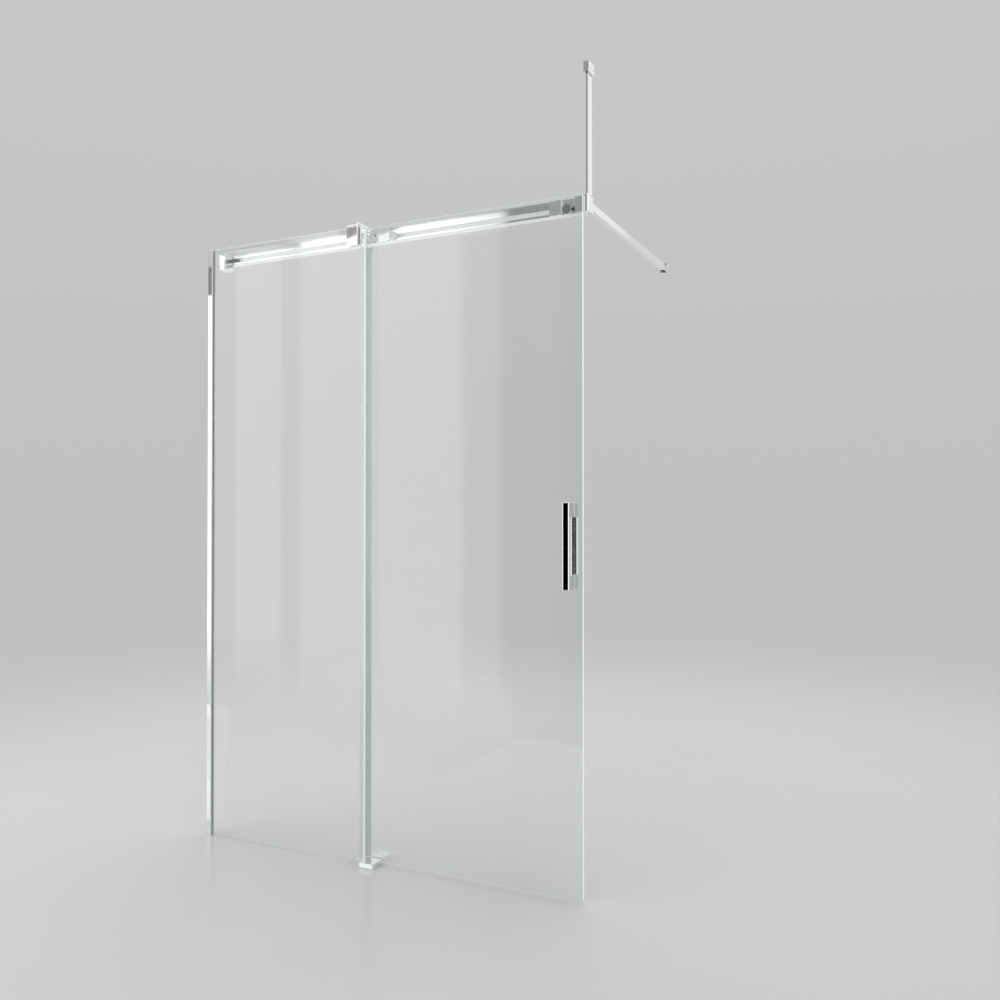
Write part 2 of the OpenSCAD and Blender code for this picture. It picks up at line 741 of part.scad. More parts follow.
module clamp_gaskets() {
    inset = 1;
    x0 = clamp_x0 + inset;
    x1 = clamp_x1 - inset;
    screw_hole = clamp_screw_d / 2 + bore_fit;
    color(clear_plastic) difference() {
        span([x0, -clamp_front_gasket_t, clamp_z0 + inset], [x1, jaw_y0, arm_z0]);
        span([x0 - over, 0, clamp_z0], [x1 + over, glass_t, screen_h]);
        span([x0 - over, glass_t - over, clamp_z0 - over],
             [x1 + over, jaw_y0 + over, clamp_jaw_z0 + inset]);
        rod_y(clamp_mid, -clamp_front_gasket_t - over, jaw_y0 + over, clamp_hole_z,
              screw_hole);
    }
    color(white_plastic) difference() {
        rod_y(clamp_mid, bore_fit, glass_t - bore_fit, clamp_hole_z,
              clamp_hole_d / 2 - bore_fit);
        rod_y(clamp_mid, -over, glass_t + over, clamp_hole_z, screw_hole);
    }
}

module clamp_glass_screw() {
    color(steel) difference() {
        union() {
            rod_y(clamp_mid, -clamp_front_gasket_t - clamp_thread_depth + light_gap,
                  jaw_y1 - clamp_head_h, clamp_hole_z, clamp_screw_d / 2);
            rod_y(clamp_mid, jaw_y1 - clamp_head_h, jaw_y1, clamp_hole_z, clamp_head_r);
        }
        hex_y(clamp_mid, jaw_y1 - hex_depth + 0.01, clamp_hole_z);
    }
}

module clamp_foot_screws() {
    top = arm_z1;
    color(steel) for (x = foot_x) difference() {
        union() {
            rod_z(x, rail_mid_y, roof_z1 - nut_plate_t + light_gap, top - foot_head_h,
                  foot_screw_d / 2);
            rod_z(x, rail_mid_y, top - foot_head_h, top, foot_screw_d);
        }
        hex_z(x, rail_mid_y, top - hex_depth + 0.01);
    }
}

module clamp_nut_plate() {
    color(steel) difference() {
        span([clamp_x0, rail_mid_y - nut_plate_d / 2, roof_z1 - nut_plate_t],
             [clamp_x1, rail_mid_y + nut_plate_d / 2, roof_z1]);
        for (x = foot_x)
            rod_z(x, rail_mid_y, roof_z1 - nut_plate_t - over, roof_z1 + over,
                  foot_screw_d / 2 + bore_fit);
    }
}

// Ceiling post

module post_stud() {
    color(steel) rod_z(post_mid_x, rail_mid_y, end_z1 - post_stud_half + light_gap,
                       end_z1 + post_stud_half - light_gap, post_stud_d / 2);
}

module ceiling_post() {
    y0 = rail_mid_y - post_d / 2;
    color(chrome) difference() {
        translate([post_x0, y0, end_z1]) linear_extrude(post_z1 - end_z1)
            chamfered(post_w, post_d, edge);
        rod_z(post_mid_x, rail_mid_y, end_z1 - over, end_z1 + post_stud_half,
              post_stud_d / 2 + bore_fit);
    }
}

module ceiling_sleeve() {
    w = ceiling_sleeve_w;
    d = ceiling_sleeve_d;
    color(chrome) difference() {
        translate([post_mid_x - w / 2, rail_mid_y - d / 2, ceiling_sleeve_z0])
            linear_extrude(ceiling_h - ceiling_sleeve_z0) chamfered(w, d, edge);
        translate([post_mid_x - w / 2 + sleeve_wall, rail_mid_y - d / 2 + sleeve_wall,
                   ceiling_sleeve_z0 + sleeve_floor_t])
            linear_extrude(ceiling_sleeve_h) square([w - 2 * sleeve_wall, d - 2 * sleeve_wall]);
        span([post_x0 - slide_fit, rail_mid_y - post_d / 2 - slide_fit,
              ceiling_sleeve_z0 - over],
             [post_x0 + post_w + slide_fit, rail_mid_y + post_d / 2 + slide_fit,
              ceiling_sleeve_z0 + sleeve_floor_t + over]);
        for (y = ceiling_grub_y)
            rod_x(post_mid_x, post_mid_x + w, y, ceiling_grub_z, grub_d / 2 + bore_fit);
    }
}

module ceiling_anchor() {
    half_w = ceiling_sleeve_w / 2 - sleeve_wall - slide_fit;
    half_d = ceiling_sleeve_d / 2 - sleeve_wall - slide_fit;
    color(steel) difference() {
        union() {
            span([post_mid_x - half_w, rail_mid_y - half_d, ceiling_h - anchor_t],
                 [post_mid_x + half_w, rail_mid_y + half_d, ceiling_h]);
            for (s = [-1, 1]) {
                y = rail_mid_y + s * (half_d - lug_t / 2);
                span([post_mid_x - half_w, y - lug_t / 2, ceiling_h - anchor_t - lug_l],
                     [post_mid_x + half_w, y + lug_t / 2, ceiling_h - anchor_t + over]);
            }
        }
        for (s = [-1, 1])
            rod_z(post_mid_x, rail_mid_y + s * ceiling_hole_pitch / 2,
                  ceiling_h - anchor_t - over, ceiling_h + over, anchor_hole_r);
    }
}

module ceiling_grubs() {
    x0 = post_x0 + post_w;
    x1 = post_mid_x + ceiling_sleeve_w / 2 - light_gap;
    color(steel) for (y = ceiling_grub_y) difference() {
        rod_x(x0, x1, y, ceiling_grub_z, grub_d / 2);
        hex_x(x1 - hex_depth + 0.01, y, ceiling_grub_z);
    }
}

// Return bar

// The return bar's rectangle, grown by a margin, along a stretch of Y
module bar_span(margin, y0, y1) {
    span([bar_mid_x - bar_w / 2 - margin, y0, bar_mid_z - bar_h / 2 - margin],
         [bar_mid_x + bar_w / 2 + margin, y1, bar_mid_z + bar_h / 2 + margin]);
}

module return_bar() {
    color(chrome) difference() {
        translate([bar_mid_x - bar_w / 2, bar_y1, bar_mid_z - bar_h / 2]) rotate([90, 0, 0])
            linear_extrude(bar_y1 - end_y1) chamfered(bar_w, bar_h, edge * 0.8);
        bar_span(-bar_wall, end_y1 - over, bar_y1 + over);
        rod_z(bar_mid_x, end_y1 + spigot_grub_in, bar_mid_z - bar_h, bar_mid_z,
              grub_d / 2 + bore_fit);
    }
}

module return_bar_grub() {
    z0 = bar_mid_z - bar_h / 2 + light_gap;
    color(steel) difference() {
        rod_z(bar_mid_x, end_y1 + spigot_grub_in, z0, bar_mid_z - light_gap, grub_d / 2);
        hex_z(bar_mid_x, end_y1 + spigot_grub_in, z0 - 0.01);
    }
}

module wall_sleeve() {
    w = wall_sleeve_w;
    h = wall_sleeve_h;
    color(chrome) difference() {
        translate([bar_mid_x - w / 2, facing_wall, bar_mid_z - h / 2]) rotate([90, 0, 0])
            linear_extrude(wall_sleeve_d) chamfered(w, h, edge);
        span([bar_mid_x - w / 2 + sleeve_wall, wall_sleeve_y0 + sleeve_floor_t,
              bar_mid_z - h / 2 + sleeve_wall],
             [bar_mid_x + w / 2 - sleeve_wall, facing_wall + over,
              bar_mid_z + h / 2 - sleeve_wall]);
        bar_span(slide_fit, wall_sleeve_y0 - over, wall_sleeve_y0 + sleeve_floor_t + over);
        for (z = wall_grub_z)
            rod_x(bar_mid_x, bar_mid_x + w, wall_grub_y, z, grub_d / 2 + bore_fit);
    }
}

module wall_anchor() {
    half_w = wall_sleeve_w / 2 - sleeve_wall - slide_fit;
    half_h = wall_sleeve_h / 2 - sleeve_wall - slide_fit;
    color(steel) difference() {
        union() {
            span([bar_mid_x - half_w, facing_wall - anchor_t, bar_mid_z - half_h],
                 [bar_mid_x + half_w, facing_wall, bar_mid_z + half_h]);
            for (s = [-1, 1]) {
                z = bar_mid_z + s * (half_h - lug_t / 2);
                span([bar_mid_x - half_w, facing_wall - anchor_t - lug_l, z - lug_t / 2],
                     [bar_mid_x + half_w, facing_wall - anchor_t + over, z + lug_t / 2]);
            }
        }
        for (s = [-1, 1])
            rod_y(bar_mid_x, facing_wall - anchor_t - over, facing_wall + over,
                  bar_mid_z + s * facing_hole_pitch / 2, anchor_hole_r);
    }
}

module wall_sleeve_grubs() {
    x0 = bar_x1;
    x1 = bar_mid_x + wall_sleeve_w / 2 - light_gap;
    color(steel) for (z = wall_grub_z) difference() {
        rod_x(x0, x1, wall_grub_y, z, grub_d / 2);
        hex_x(x1 - hex_depth + 0.01, wall_grub_y, z);
    }
}

// Floor guide

// The notch that takes the lower corner of the fixed glass
module glass_notch() {
    span([guide_x0 - over, -slide_fit, -over],
         [fixed_x1 + slide_fit, glass_t + slide_fit, guide_h + over]);
}

module guide_base() {
    color(chrome) difference() {
        union() {
            span([guide_x0, -guide_front, 0], [guide_x1, liner_y1, guide_base_t]);
            translate([guide_jaw_x0, 0, 0]) linear_extrude(guide_base_t)
                translate([0, liner_y1 - over]) square([jaw_w, over * 2]);
            translate([guide_jaw_x0 + jaw_w, liner_y1, 0]) rotate([0, 0, 90])
                linear_extrude(guide_base_t) rounded_end(jaw_d, jaw_w, jaw_round);
        }
        glass_notch();
        for (s = [-1, 1])
            rod_z(guide_jaw_x0 + jaw_w / 2 + s * floor_hole_pitch / 2,
                  (door_y0 + door_y1) / 2, -over, guide_base_t + over, floor_hole_r);
        for (p = guide_screws_at) {
            rod_z(p.x, p.y, -over, guide_base_t + over, guide_screw_r + bore_fit);
            rod_z(p.x, p.y, -over, light_gap + guide_head_h + bore_fit,
                  guide_head_r + bore_fit);
        }
    }
}

module guide_front_block() {
    color(chrome) difference() {
        bevelled([guide_x0, -guide_front, guide_base_t], [guide_x1, liner_y0, guide_h], edge);
        glass_notch();
        for (p = guide_screws_at)
            rod_z(p.x, p.y, guide_base_t - over, guide_screw_top + light_gap,
                  guide_screw_r + bore_fit);
    }
}

module guide_rear_jaw() {
    color(chrome) difference() {
        translate([guide_jaw_x0 + jaw_w, liner_y1, guide_base_t]) rotate([0, 0, 90])
            linear_extrude(guide_h - guide_base_t) rounded_end(jaw_d, jaw_w, jaw_round);
        for (p = guide_screws_at)
            rod_z(p.x, p.y, guide_base_t - over, guide_screw_top + light_gap,
                  guide_screw_r + bore_fit);
    }
}

module guide_liner() {
    x0 = guide_jaw_x0;
    x1 = guide_jaw_x0 + jaw_w;
    top = guide_h - 0.5;
    color(white_plastic) difference() {
        span([x0, liner_y0, guide_base_t], [x1, liner_y1, top]);
        span([x0 - over, liner_y0 + liner_t, guide_base_t + liner_t],
             [x1 + over, liner_y1 - liner_t, top + over]);
        for (s = [-1, 1])
            rod_z(guide_jaw_x0 + jaw_w / 2 + s * floor_hole_pitch / 2,
                  (door_y0 + door_y1) / 2, guide_base_t - over, guide_base_t + 2 * over,
                  liner_hole_r);
    }
}

module guide_screws() {
    color(steel) for (p = guide_screws_at) {
        rod_z(p.x, p.y, light_gap, light_gap + guide_head_h, guide_head_r);
        rod_z(p.x, p.y, light_gap + guide_head_h, guide_screw_top, guide_screw_r);
    }
}

// Door

module door_glass() {
    color(glass) difference() {
        bevelled([door_x0, door_y0, door_floor_gap], [door_x1, door_y1, door_z1], 0.5);
        for (z = leg_z)
            rod_y(handle_mid_x, door_y0 - over, door_y1 + over, z, handle_hole_d / 2);
    }
}

module door_seal() {
    t = seal_t;
    web = t * 1.5;
    color(clear_plastic) translate([0, 0, seal_z0]) linear_extrude(seal_z1 - seal_z0)
        polygon([
            [door_x0 - web, glass_t + seal_tip_gap],
            [door_x0 - web + t * 0.6, glass_t + seal_tip_gap],
            [door_x0 - web + t * 1.2, door_y0 - t],
            [door_x0 + seal_clip_w, door_y0 - t],
            [door_x0 + seal_clip_w, door_y0],
            [door_x0, door_y0],
            [door_x0, door_y1],
            [door_x0 + seal_clip_w, door_y1],
            [door_x0 + seal_clip_w, door_y1 + t],
            [door_x0 - web, door_y1 + t]
        ]);
}

// A carriage block: bonded to the glass, with a pocket behind it for the hanger plate
module carriage_block(x) {
    disc_x = x + block_w + axle_out;
    color(chrome) difference() {
        bevelled([x, block_y0, block_z0], [x + block_w, block_y1, block_z1], edge * 0.7);
        span([x + pocket_x, pocket_y0, slot_z - hanger_half_h - light_gap],
             [x + block_w + over, block_y1 + over, slot_z + hanger_half_h + adjust_room]);
        rod_y(disc_x, block_y0 - over, block_y1 + over, slot_z, hanger_r + light_gap * 2);
        rod_z(x + adjuster_x, adjuster_y, slot_z, block_z1 + over, adjuster_d / 2 + bore_fit);
        rod_z(x + adjuster_x, adjuster_y, block_z0 - over, slot_z, adjuster_d / 2 + bore_fit);
    }
}

module carriage_left_block() {
    carriage_block(block_x[0]);
}

module carriage_right_block() {
    carriage_block(block_x[1]);
}

// A hanger plate: it carries two axles, and its round end shows beside the block
module carriage_hanger(x) {
    disc_x = x + block_w + axle_out;
    color(polished) difference() {
        union() {
            span([x + hanger_x, hanger_y0, slot_z - hanger_half_h],
                 [disc_x, hanger_y1, slot_z + hanger_half_h]);
            rod_y(disc_x, hanger_y0, hanger_y1, slot_z, hanger_r);
        }
        for (axle_x = [x + axle_in, disc_x])
            rod_y(axle_x, hanger_y0 - over, hanger_y1 + over, slot_z, axle_d / 2 + bore_fit);
    }
}

module carriage_left_hanger() {
    carriage_hanger(block_x[0]);
}

module carriage_right_hanger() {
    carriage_hanger(block_x[1]);
}

module carriage_pads() {
    inset = 1;
    color(clear_plastic) for (x = block_x) difference() {
        span([x + inset, door_y1, block_z0 + inset],
             [x + block_w - inset, block_y0, block_z1 - inset]);
        rod_y(x + block_w + axle_out, door_y1 - over, block_y0 + over, slot_z,
              hanger_r + light_gap * 2);
    }
}

module carriage_caps() {
    color(chrome) for (x = block_x)
        rod_y(x + block_w + axle_out, hanger_y0 - cap_t, hanger_y0, slot_z, cap_r);
}

module adjusting_screws() {
    color(chrome) for (x = block_x) difference() {
        union() {
            rod_z(x + adjuster_x, adjuster_y, slot_z + hanger_half_h, block_z1, adjuster_d / 2);
            rod_z(x + adjuster_x, adjuster_y, block_z1, block_z1 + adjuster_head_h,
                  adjuster_head_d / 2);
        }
        hex_z(x + adjuster_x, adjuster_y, block_z1 + adjuster_head_h - hex_depth + 0.01);
    }
}

module lock_screws() {
    color(chrome) for (x = block_x) difference() {
        union() {
            rod_z(x + adjuster_x, adjuster_y, block_z0, slot_z - hanger_half_h, adjuster_d / 2);
            rod_z(x + adjuster_x, adjuster_y, block_z0 - adjuster_head_h, block_z0,
                  adjuster_head_d / 2);
        }
        hex_z(x + adjuster_x, adjuster_y, block_z0 - adjuster_head_h - 0.01);
    }
}

module roller_axles() {
    color(steel) for (x = roller_x) {
        rod_y(x, hanger_y0, axle_y1 - axle_head_t, slot_z, axle_d / 2);
        rod_y(x, axle_y1 - axle_head_t, axle_y1, slot_z, axle_head_d / 2);
    }
}

module axle_spacers() {
    color(steel) for (x = roller_x) difference() {
        rod_y(x, hanger_y1, roller_y0 - axle_play, slot_z, axle_head_d / 2);
        rod_y(x, hanger_y1 - over, roller_y0 + over, slot_z, axle_d / 2 + bore_fit);
    }
}

// A roller is a plastic tyre on a bearing, and rolls on the rail's track
module roller_tyre(i) {
    color(white_plastic) difference() {
        rod_y(roller_x[i], roller_y0, roller_y1, slot_z, roller_r);
        rod_y(roller_x[i], roller_y0 - over, roller_y1 + over, slot_z,
              bearing_d / 2 + bore_fit);
    }
}

module roller_bearing(i) {
    color(steel) difference() {
        rod_y(roller_x[i], roller_y0, roller_y1, slot_z, bearing_d / 2);
        rod_y(roller_x[i], roller_y0 - over, roller_y1 + over, slot_z,
              axle_d / 2 + bore_fit);
    }
}

// Handle: an outer and an inner bar on legs, joined by studs through the glass

module handle(glass_y, side) {
    face = glass_y + side * handle_reach;
    foot = glass_y + side * washer_t;
    back = face - side * handle_t;
    root = face - side * handle_t / 2;
    color(chrome) difference() {
        union() {
            bevelled([handle_x0, min(face, back), handle_z0],
                     [handle_x1, max(face, back), handle_z1], handle_bevel);
            for (z = leg_z)
                bevelled([handle_x0, min(root, foot), z - leg_h / 2],
                         [handle_x1, max(root, foot), z + leg_h / 2], handle_bevel / 2);
        }
        for (z = leg_z) {
            end = foot + side * (stud_depth + light_gap);
            rod_y(handle_mid_x, min(end, foot - side), max(end, foot - side), z,
                  stud_d / 2 + bore_fit);
        }
    }
}

module handle_outer() {
    handle(door_y0, -1);
}

module handle_inner() {
    handle(door_y1, 1);
}

module handle_washers() {
    color(clear_plastic) for (z = leg_z) difference() {
        for (y = [[door_y0 - washer_t, door_y0], [door_y1, door_y1 + washer_t]])
            span([handle_x0 + 1, y[0], z - leg_h / 2 + 1],
                 [handle_x1 - 1, y[1], z + leg_h / 2 - 1]);
        rod_y(handle_mid_x, door_y0 - 2 * washer_t, door_y1 + 2 * washer_t, z,
              stud_d / 2 + bore_fit);
    }
}

module handle_studs() {
    color(steel) for (z = leg_z)
        rod_y(handle_mid_x, door_y0 - washer_t - stud_depth, door_y1 + washer_t + stud_depth,
              z, stud_d / 2);
}

module handle_bushings() {
    color(white_plastic) for (z = leg_z) difference() {
        rod_y(handle_mid_x, door_y0, door_y1, z, handle_hole_d / 2 - bore_fit);
        rod_y(handle_mid_x, door_y0 - over, door_y1 + over, z, stud_d / 2 + bore_fit);
    }
}

wall_profile();
profile_cap();
profile_gaskets();
fixed_glass();
rail_bracket_plate();
rail_bracket_body();
rail_bracket_grubs();
rail();
rail_stop_left();
rail_stop_right();
rail_bumpers();
rail_stop_screws();
clamp_body();
clamp_rear_jaw();
clamp_gaskets();
clamp_glass_screw();
clamp_foot_screws();
clamp_nut_plate();
end_block();
end_block_grubs();
post_stud();
ceiling_post();
ceiling_sleeve();
ceiling_anchor();
ceiling_grubs();
return_bar();
return_bar_grub();
wall_sleeve();
wall_anchor();
wall_sleeve_grubs();
guide_base();
guide_front_block();
guide_rear_jaw();
guide_liner();
guide_screws();
door_glass();
door_seal();
carriage_left_block();
carriage_right_block();
carriage_left_hanger();
carriage_right_hanger();
carriage_pads();
carriage_caps();
adjusting_screws();
lock_screws();
roller_axles();
axle_spacers();
handle_outer();
handle_inner();
handle_washers();
handle_studs();
handle_bushings();
roller_tyre(0);  // roller_tyre_1
roller_tyre(1);  // roller_tyre_2
roller_tyre(2);  // roller_tyre_3
roller_tyre(3);  // roller_tyre_4
roller_bearing(0);  // roller_bearing_1
roller_bearing(1);  // roller_bearing_2
roller_bearing(2);  // roller_bearing_3
roller_bearing(3);  // roller_bearing_4
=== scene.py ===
# %% [markdown]
# # A walk-in shower screen
# The screen is a fixed sheet of glass on the wall, and a glass door that hangs from a slotted
# rail and slides along it. Chrome-plated brackets, a ceiling post and a return bar hold it.
# The frame of the model comes from CAD, with every piece at its real size. This script gives
# the pieces their finishes, and models again those whose real edges are softer than a drawing's.

# %% Load the frame
import json
import math

import bmesh
import bpy
import numpy as np
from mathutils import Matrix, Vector
from mathutils.geometry import tessellate_polygon


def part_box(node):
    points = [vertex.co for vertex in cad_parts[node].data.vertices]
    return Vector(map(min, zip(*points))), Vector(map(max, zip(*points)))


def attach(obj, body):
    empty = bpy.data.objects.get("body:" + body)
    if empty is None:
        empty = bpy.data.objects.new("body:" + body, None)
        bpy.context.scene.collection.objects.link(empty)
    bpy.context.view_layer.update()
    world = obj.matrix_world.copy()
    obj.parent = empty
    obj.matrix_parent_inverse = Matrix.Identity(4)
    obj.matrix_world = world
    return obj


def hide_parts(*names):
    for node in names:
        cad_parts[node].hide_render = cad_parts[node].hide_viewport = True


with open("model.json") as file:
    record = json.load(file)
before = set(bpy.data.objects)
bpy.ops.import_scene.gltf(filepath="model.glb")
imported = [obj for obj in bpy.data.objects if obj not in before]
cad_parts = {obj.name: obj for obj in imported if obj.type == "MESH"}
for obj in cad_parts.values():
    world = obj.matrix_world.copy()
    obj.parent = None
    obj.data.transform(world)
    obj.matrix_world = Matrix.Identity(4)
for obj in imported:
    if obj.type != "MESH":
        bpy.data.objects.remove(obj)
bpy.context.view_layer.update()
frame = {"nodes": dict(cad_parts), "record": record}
NODES = frame["nodes"]

# %% [markdown]
# ## Colours and nodes
# Colours are written as sRGB hex values, as a paint chart or a colour picker gives them, and
# one function turns them into the linear values that the shaders work in. Another small
# function adds a node with its settings and links, so that a material reads as a short list.

# %% Helpers for colours and nodes
MM = 0.001


def linear(colour):
    """An sRGB hex colour as linear red, green, blue and alpha: each part c goes through the
    sRGB curve, c / 12.92 below 0.04045 and ((c + 0.055) / 1.055) to the power 2.4 above."""
    parts = np.array([int(colour[i:i + 2], 16) for i in (1, 3, 5)]) / 255
    bent = np.where(parts <= 0.04045, parts / 12.92, ((parts + 0.055) / 1.055) ** 2.4)
    return (*bent.tolist(), 1.0)


def add(tree, kind, inputs=None, **settings):
    """Adds a node of that kind. settings are its own properties; inputs maps a socket's name
    or number to a plain value, or to another node's output, which is then linked."""
    made = tree.nodes.new(kind)
    for name, value in settings.items():
        setattr(made, name, value)
    for name, value in (inputs or {}).items():
        if isinstance(value, bpy.types.NodeSocket):
            tree.links.new(value, made.inputs[name])
        else:
            made.inputs[name].default_value = value
    return made


def new_material(name):
    """A material with an empty node tree and its output node."""
    made = bpy.data.materials.new(name)
    made.use_nodes = True
    made.node_tree.nodes.clear()
    output = made.node_tree.nodes.new("ShaderNodeOutputMaterial")
    return made, made.node_tree, output


def noise(tree, size_mm, stretch=(1, 1, 1), detail=3.0):
    """Noise whose blobs are about size_mm across, and that many times longer along each axis."""
    place = add(tree, "ShaderNodeTexCoord")
    per_metre = 1 / (size_mm * MM)
    scale = tuple(per_metre / s for s in stretch)
    mapping = add(tree, "ShaderNodeMapping",
                  {"Vector": place.outputs["Object"], "Scale": scale})
    return add(tree, "ShaderNodeTexNoise",
               {"Vector": mapping.outputs["Vector"], "Scale": 1.0, "Detail": detail}).outputs["Fac"]


def between(tree, factor, low, high):
    """A value that runs from low to high as the noise runs over its usual spread."""
    return add(tree, "ShaderNodeMapRange",
               {"Value": factor, "From Min": 0.3, "From Max": 0.7,
                "To Min": low, "To Max": high}).outputs["Result"]


def blend_colours(tree, factor, first, second):
    """A colour that runs from the first hex colour to the second with the factor."""
    mix = add(tree, "ShaderNodeMix", {"Factor": factor}, data_type="RGBA")
    mix.inputs[6].default_value = linear(first)
    mix.inputs[7].default_value = linear(second)
    return mix.outputs[2]


def bump(tree, height, depth_mm):
    """A bump whose noise moves the surface by about depth_mm."""
    return add(tree, "ShaderNodeBump",
               {"Height": height, "Strength": 1.0, "Distance": depth_mm * MM}).outputs["Normal"]


print("helpers ready; middle grey #bcbcbc is", round(linear("#bcbcbc")[0], 3), "in linear light")

# %% [markdown]
# ## Camera
# The photograph was taken from the dry side, a little above the middle of the glass and from
# its free end. The camera's place and lens were solved from the screen's own straight edges.

# %% Camera
CAMERA_AT = (2.2965, -2.406, 1.109)
CAMERA_YAW = 26.18
CAMERA_PITCH = 0.597
CAMERA_LENS = 33.25

camera_data = bpy.data.cameras.new("camera")
camera_data.lens = CAMERA_LENS
camera_data.sensor_width = 36.0
camera_data.clip_end = 100.0
camera = bpy.data.objects.new("camera", camera_data)
camera.location = CAMERA_AT
camera.rotation_euler = (math.radians(90 + CAMERA_PITCH), 0, math.radians(CAMERA_YAW))
bpy.context.scene.collection.objects.link(camera)
bpy.context.scene.camera = camera
print("camera at", CAMERA_AT, "with a lens of", CAMERA_LENS, "mm")

# %% [markdown]
# ## Chrome plate
# Brackets, clamp, handle, post and bar are cast or drawn brass with a bright nickel and chrome
# plate. The eye reads chrome by the hard edges between the light and dark things it mirrors,
# so its own colour is a cool light grey and its roughness is close to nothing. A polisher's
# wheel leaves a faint haze in broad patches and a very slight waviness.

# %% Chrome
CHROME_HAZE_MM = 35
CHROME_WAVE_MM = 18


def chrome_plate():
    made, tree, output = new_material("chrome_plated_brass")
    haze = noise(tree, CHROME_HAZE_MM)
    wave = noise(tree, CHROME_WAVE_MM, detail=0.0)
    shader = add(tree, "ShaderNodeBsdfPrincipled", {
        "Base Color": blend_colours(tree, haze, "#edeff0", "#f3f4f4"),
        "Metallic": 1.0,
        "Roughness": between(tree, haze, 0.02, 0.05),
        "Normal": bump(tree, wave, 0.004),
    })
    tree.links.new(shader.outputs["BSDF"], output.inputs["Surface"])
    return made


CHROME = chrome_plate()
print(CHROME.name, "has haze every", CHROME_HAZE_MM, "mm")

# %% [markdown]
# ## Bright anodised aluminium
# The rail is an aluminium extrusion, polished and then anodised. The clear oxide keeps it a
# little softer than chrome, and the die leaves fine lines along its length.

# %% Aluminium
DIE_LINE_MM = 1.2
DIE_LINE_STRETCH = 400


def anodised_aluminium():
    made, tree, output = new_material("bright_anodised_aluminium")
    lines = noise(tree, DIE_LINE_MM, stretch=(DIE_LINE_STRETCH, 1, 1), detail=2.0)
    shader = add(tree, "ShaderNodeBsdfPrincipled", {
        "Base Color": blend_colours(tree, lines, "#eef0f1", "#f4f5f5"),
        "Metallic": 1.0,
        "Roughness": between(tree, lines, 0.04, 0.08),
        "Normal": bump(tree, lines, 0.0015),
    })
    tree.links.new(shader.outputs["BSDF"], output.inputs["Surface"])
    return made


ALUMINIUM = anodised_aluminium()
print(ALUMINIUM.name, "has die lines", DIE_LINE_MM, "mm apart")

# %% [markdown]
# ## Satin aluminium
# The polishing wheel doesn't reach into the rail's channel. There the metal stays etched under
# its thick oxide, which scatters the light: a pale satin, nearly white, that mirrors little.
# A weak glow stands for the light that the bright metal around the mouth throws into it.

# %% Satin aluminium
CHANNEL_GLOW = 0.1


def satin_aluminium():
    made, tree, output = new_material("satin_anodised_aluminium")
    lines = noise(tree, DIE_LINE_MM, stretch=(DIE_LINE_STRETCH, 1, 1), detail=2.0)
    shader = add(tree, "ShaderNodeBsdfPrincipled", {
        "Base Color": blend_colours(tree, lines, "#f6f7f7", "#fcfcfc"),
        "Metallic": 0.15,
        "Roughness": between(tree, lines, 0.34, 0.44),
        "Normal": bump(tree, lines, 0.003),
        "Emission Color": linear("#f8f9f9"),
        "Emission Strength": CHANNEL_GLOW,
    })
    tree.links.new(shader.outputs["BSDF"], output.inputs["Surface"])
    return made


SATIN = satin_aluminium()
print(SATIN.name, "for the rail's channel")

# %% [markdown]
# ## Stainless steel
# Hidden screws, axles, plates and bearings are turned or stamped stainless steel. Their surface
# is left as the tool made it: a darker grey than chrome, with a soft, blurred shine.

# %% Steel
TOOL_MARK_MM = 0.8


def stainless_steel():
    made, tree, output = new_material("turned_stainless_steel")
    marks = noise(tree, TOOL_MARK_MM)
    shader = add(tree, "ShaderNodeBsdfPrincipled", {
        "Base Color": blend_colours(tree, marks, "#c2c4c5", "#cfd0d1"),
        "Metallic": 1.0,
        "Roughness": between(tree, marks, 0.2, 0.34),
        "Normal": bump(tree, marks, 0.004),
    })
    tree.links.new(shader.outputs["BSDF"], output.inputs["Surface"])
    return made


STEEL = stainless_steel()
print(STEEL.name, "has tool marks of", TOOL_MARK_MM, "mm")

# %% [markdown]
# ## Nickel caps with painted shade
# The round caps of the carriages are given a darker grey than the chrome beside them, and that
# darker grey is painted shade. They are plated over a turned face, whose fine rings spread what
# they mirror.

# %% Nickel caps with painted shade
RING_MM = 0.4


def painted_shade_nickel():
    made, tree, output = new_material("nickel_plate_with_painted_shade")
    rings = noise(tree, RING_MM)
    # The darker grey of the base colour is painted shade on the caps; the rings are the turned face.
    shader = add(tree, "ShaderNodeBsdfPrincipled", {
        "Base Color": blend_colours(tree, rings, "#aeb0b2", "#bbbdbe"),
        "Metallic": 1.0,
        "Roughness": between(tree, rings, 0.14, 0.24),
        "Normal": bump(tree, rings, 0.002),
    })
    tree.links.new(shader.outputs["BSDF"], output.inputs["Surface"])
    return made


PAINTED_SHADE_NICKEL = painted_shade_nickel()
print(PAINTED_SHADE_NICKEL.name, "has rings", RING_MM, "mm apart")

# %% [markdown]
# ## Toughened glass
# Both sheets are 8 mm float glass, toughened. Iron in the glass takes out a little red, which
# nobody sees through 8 mm. Light from a lamp passes such a clear sheet almost unchanged, so a
# transparent shader stands in for shadow rays, and the floor behind isn't darkened.

# %% Glass
GLASS_IOR = 1.52
GLASS_DENSITY = 1.6


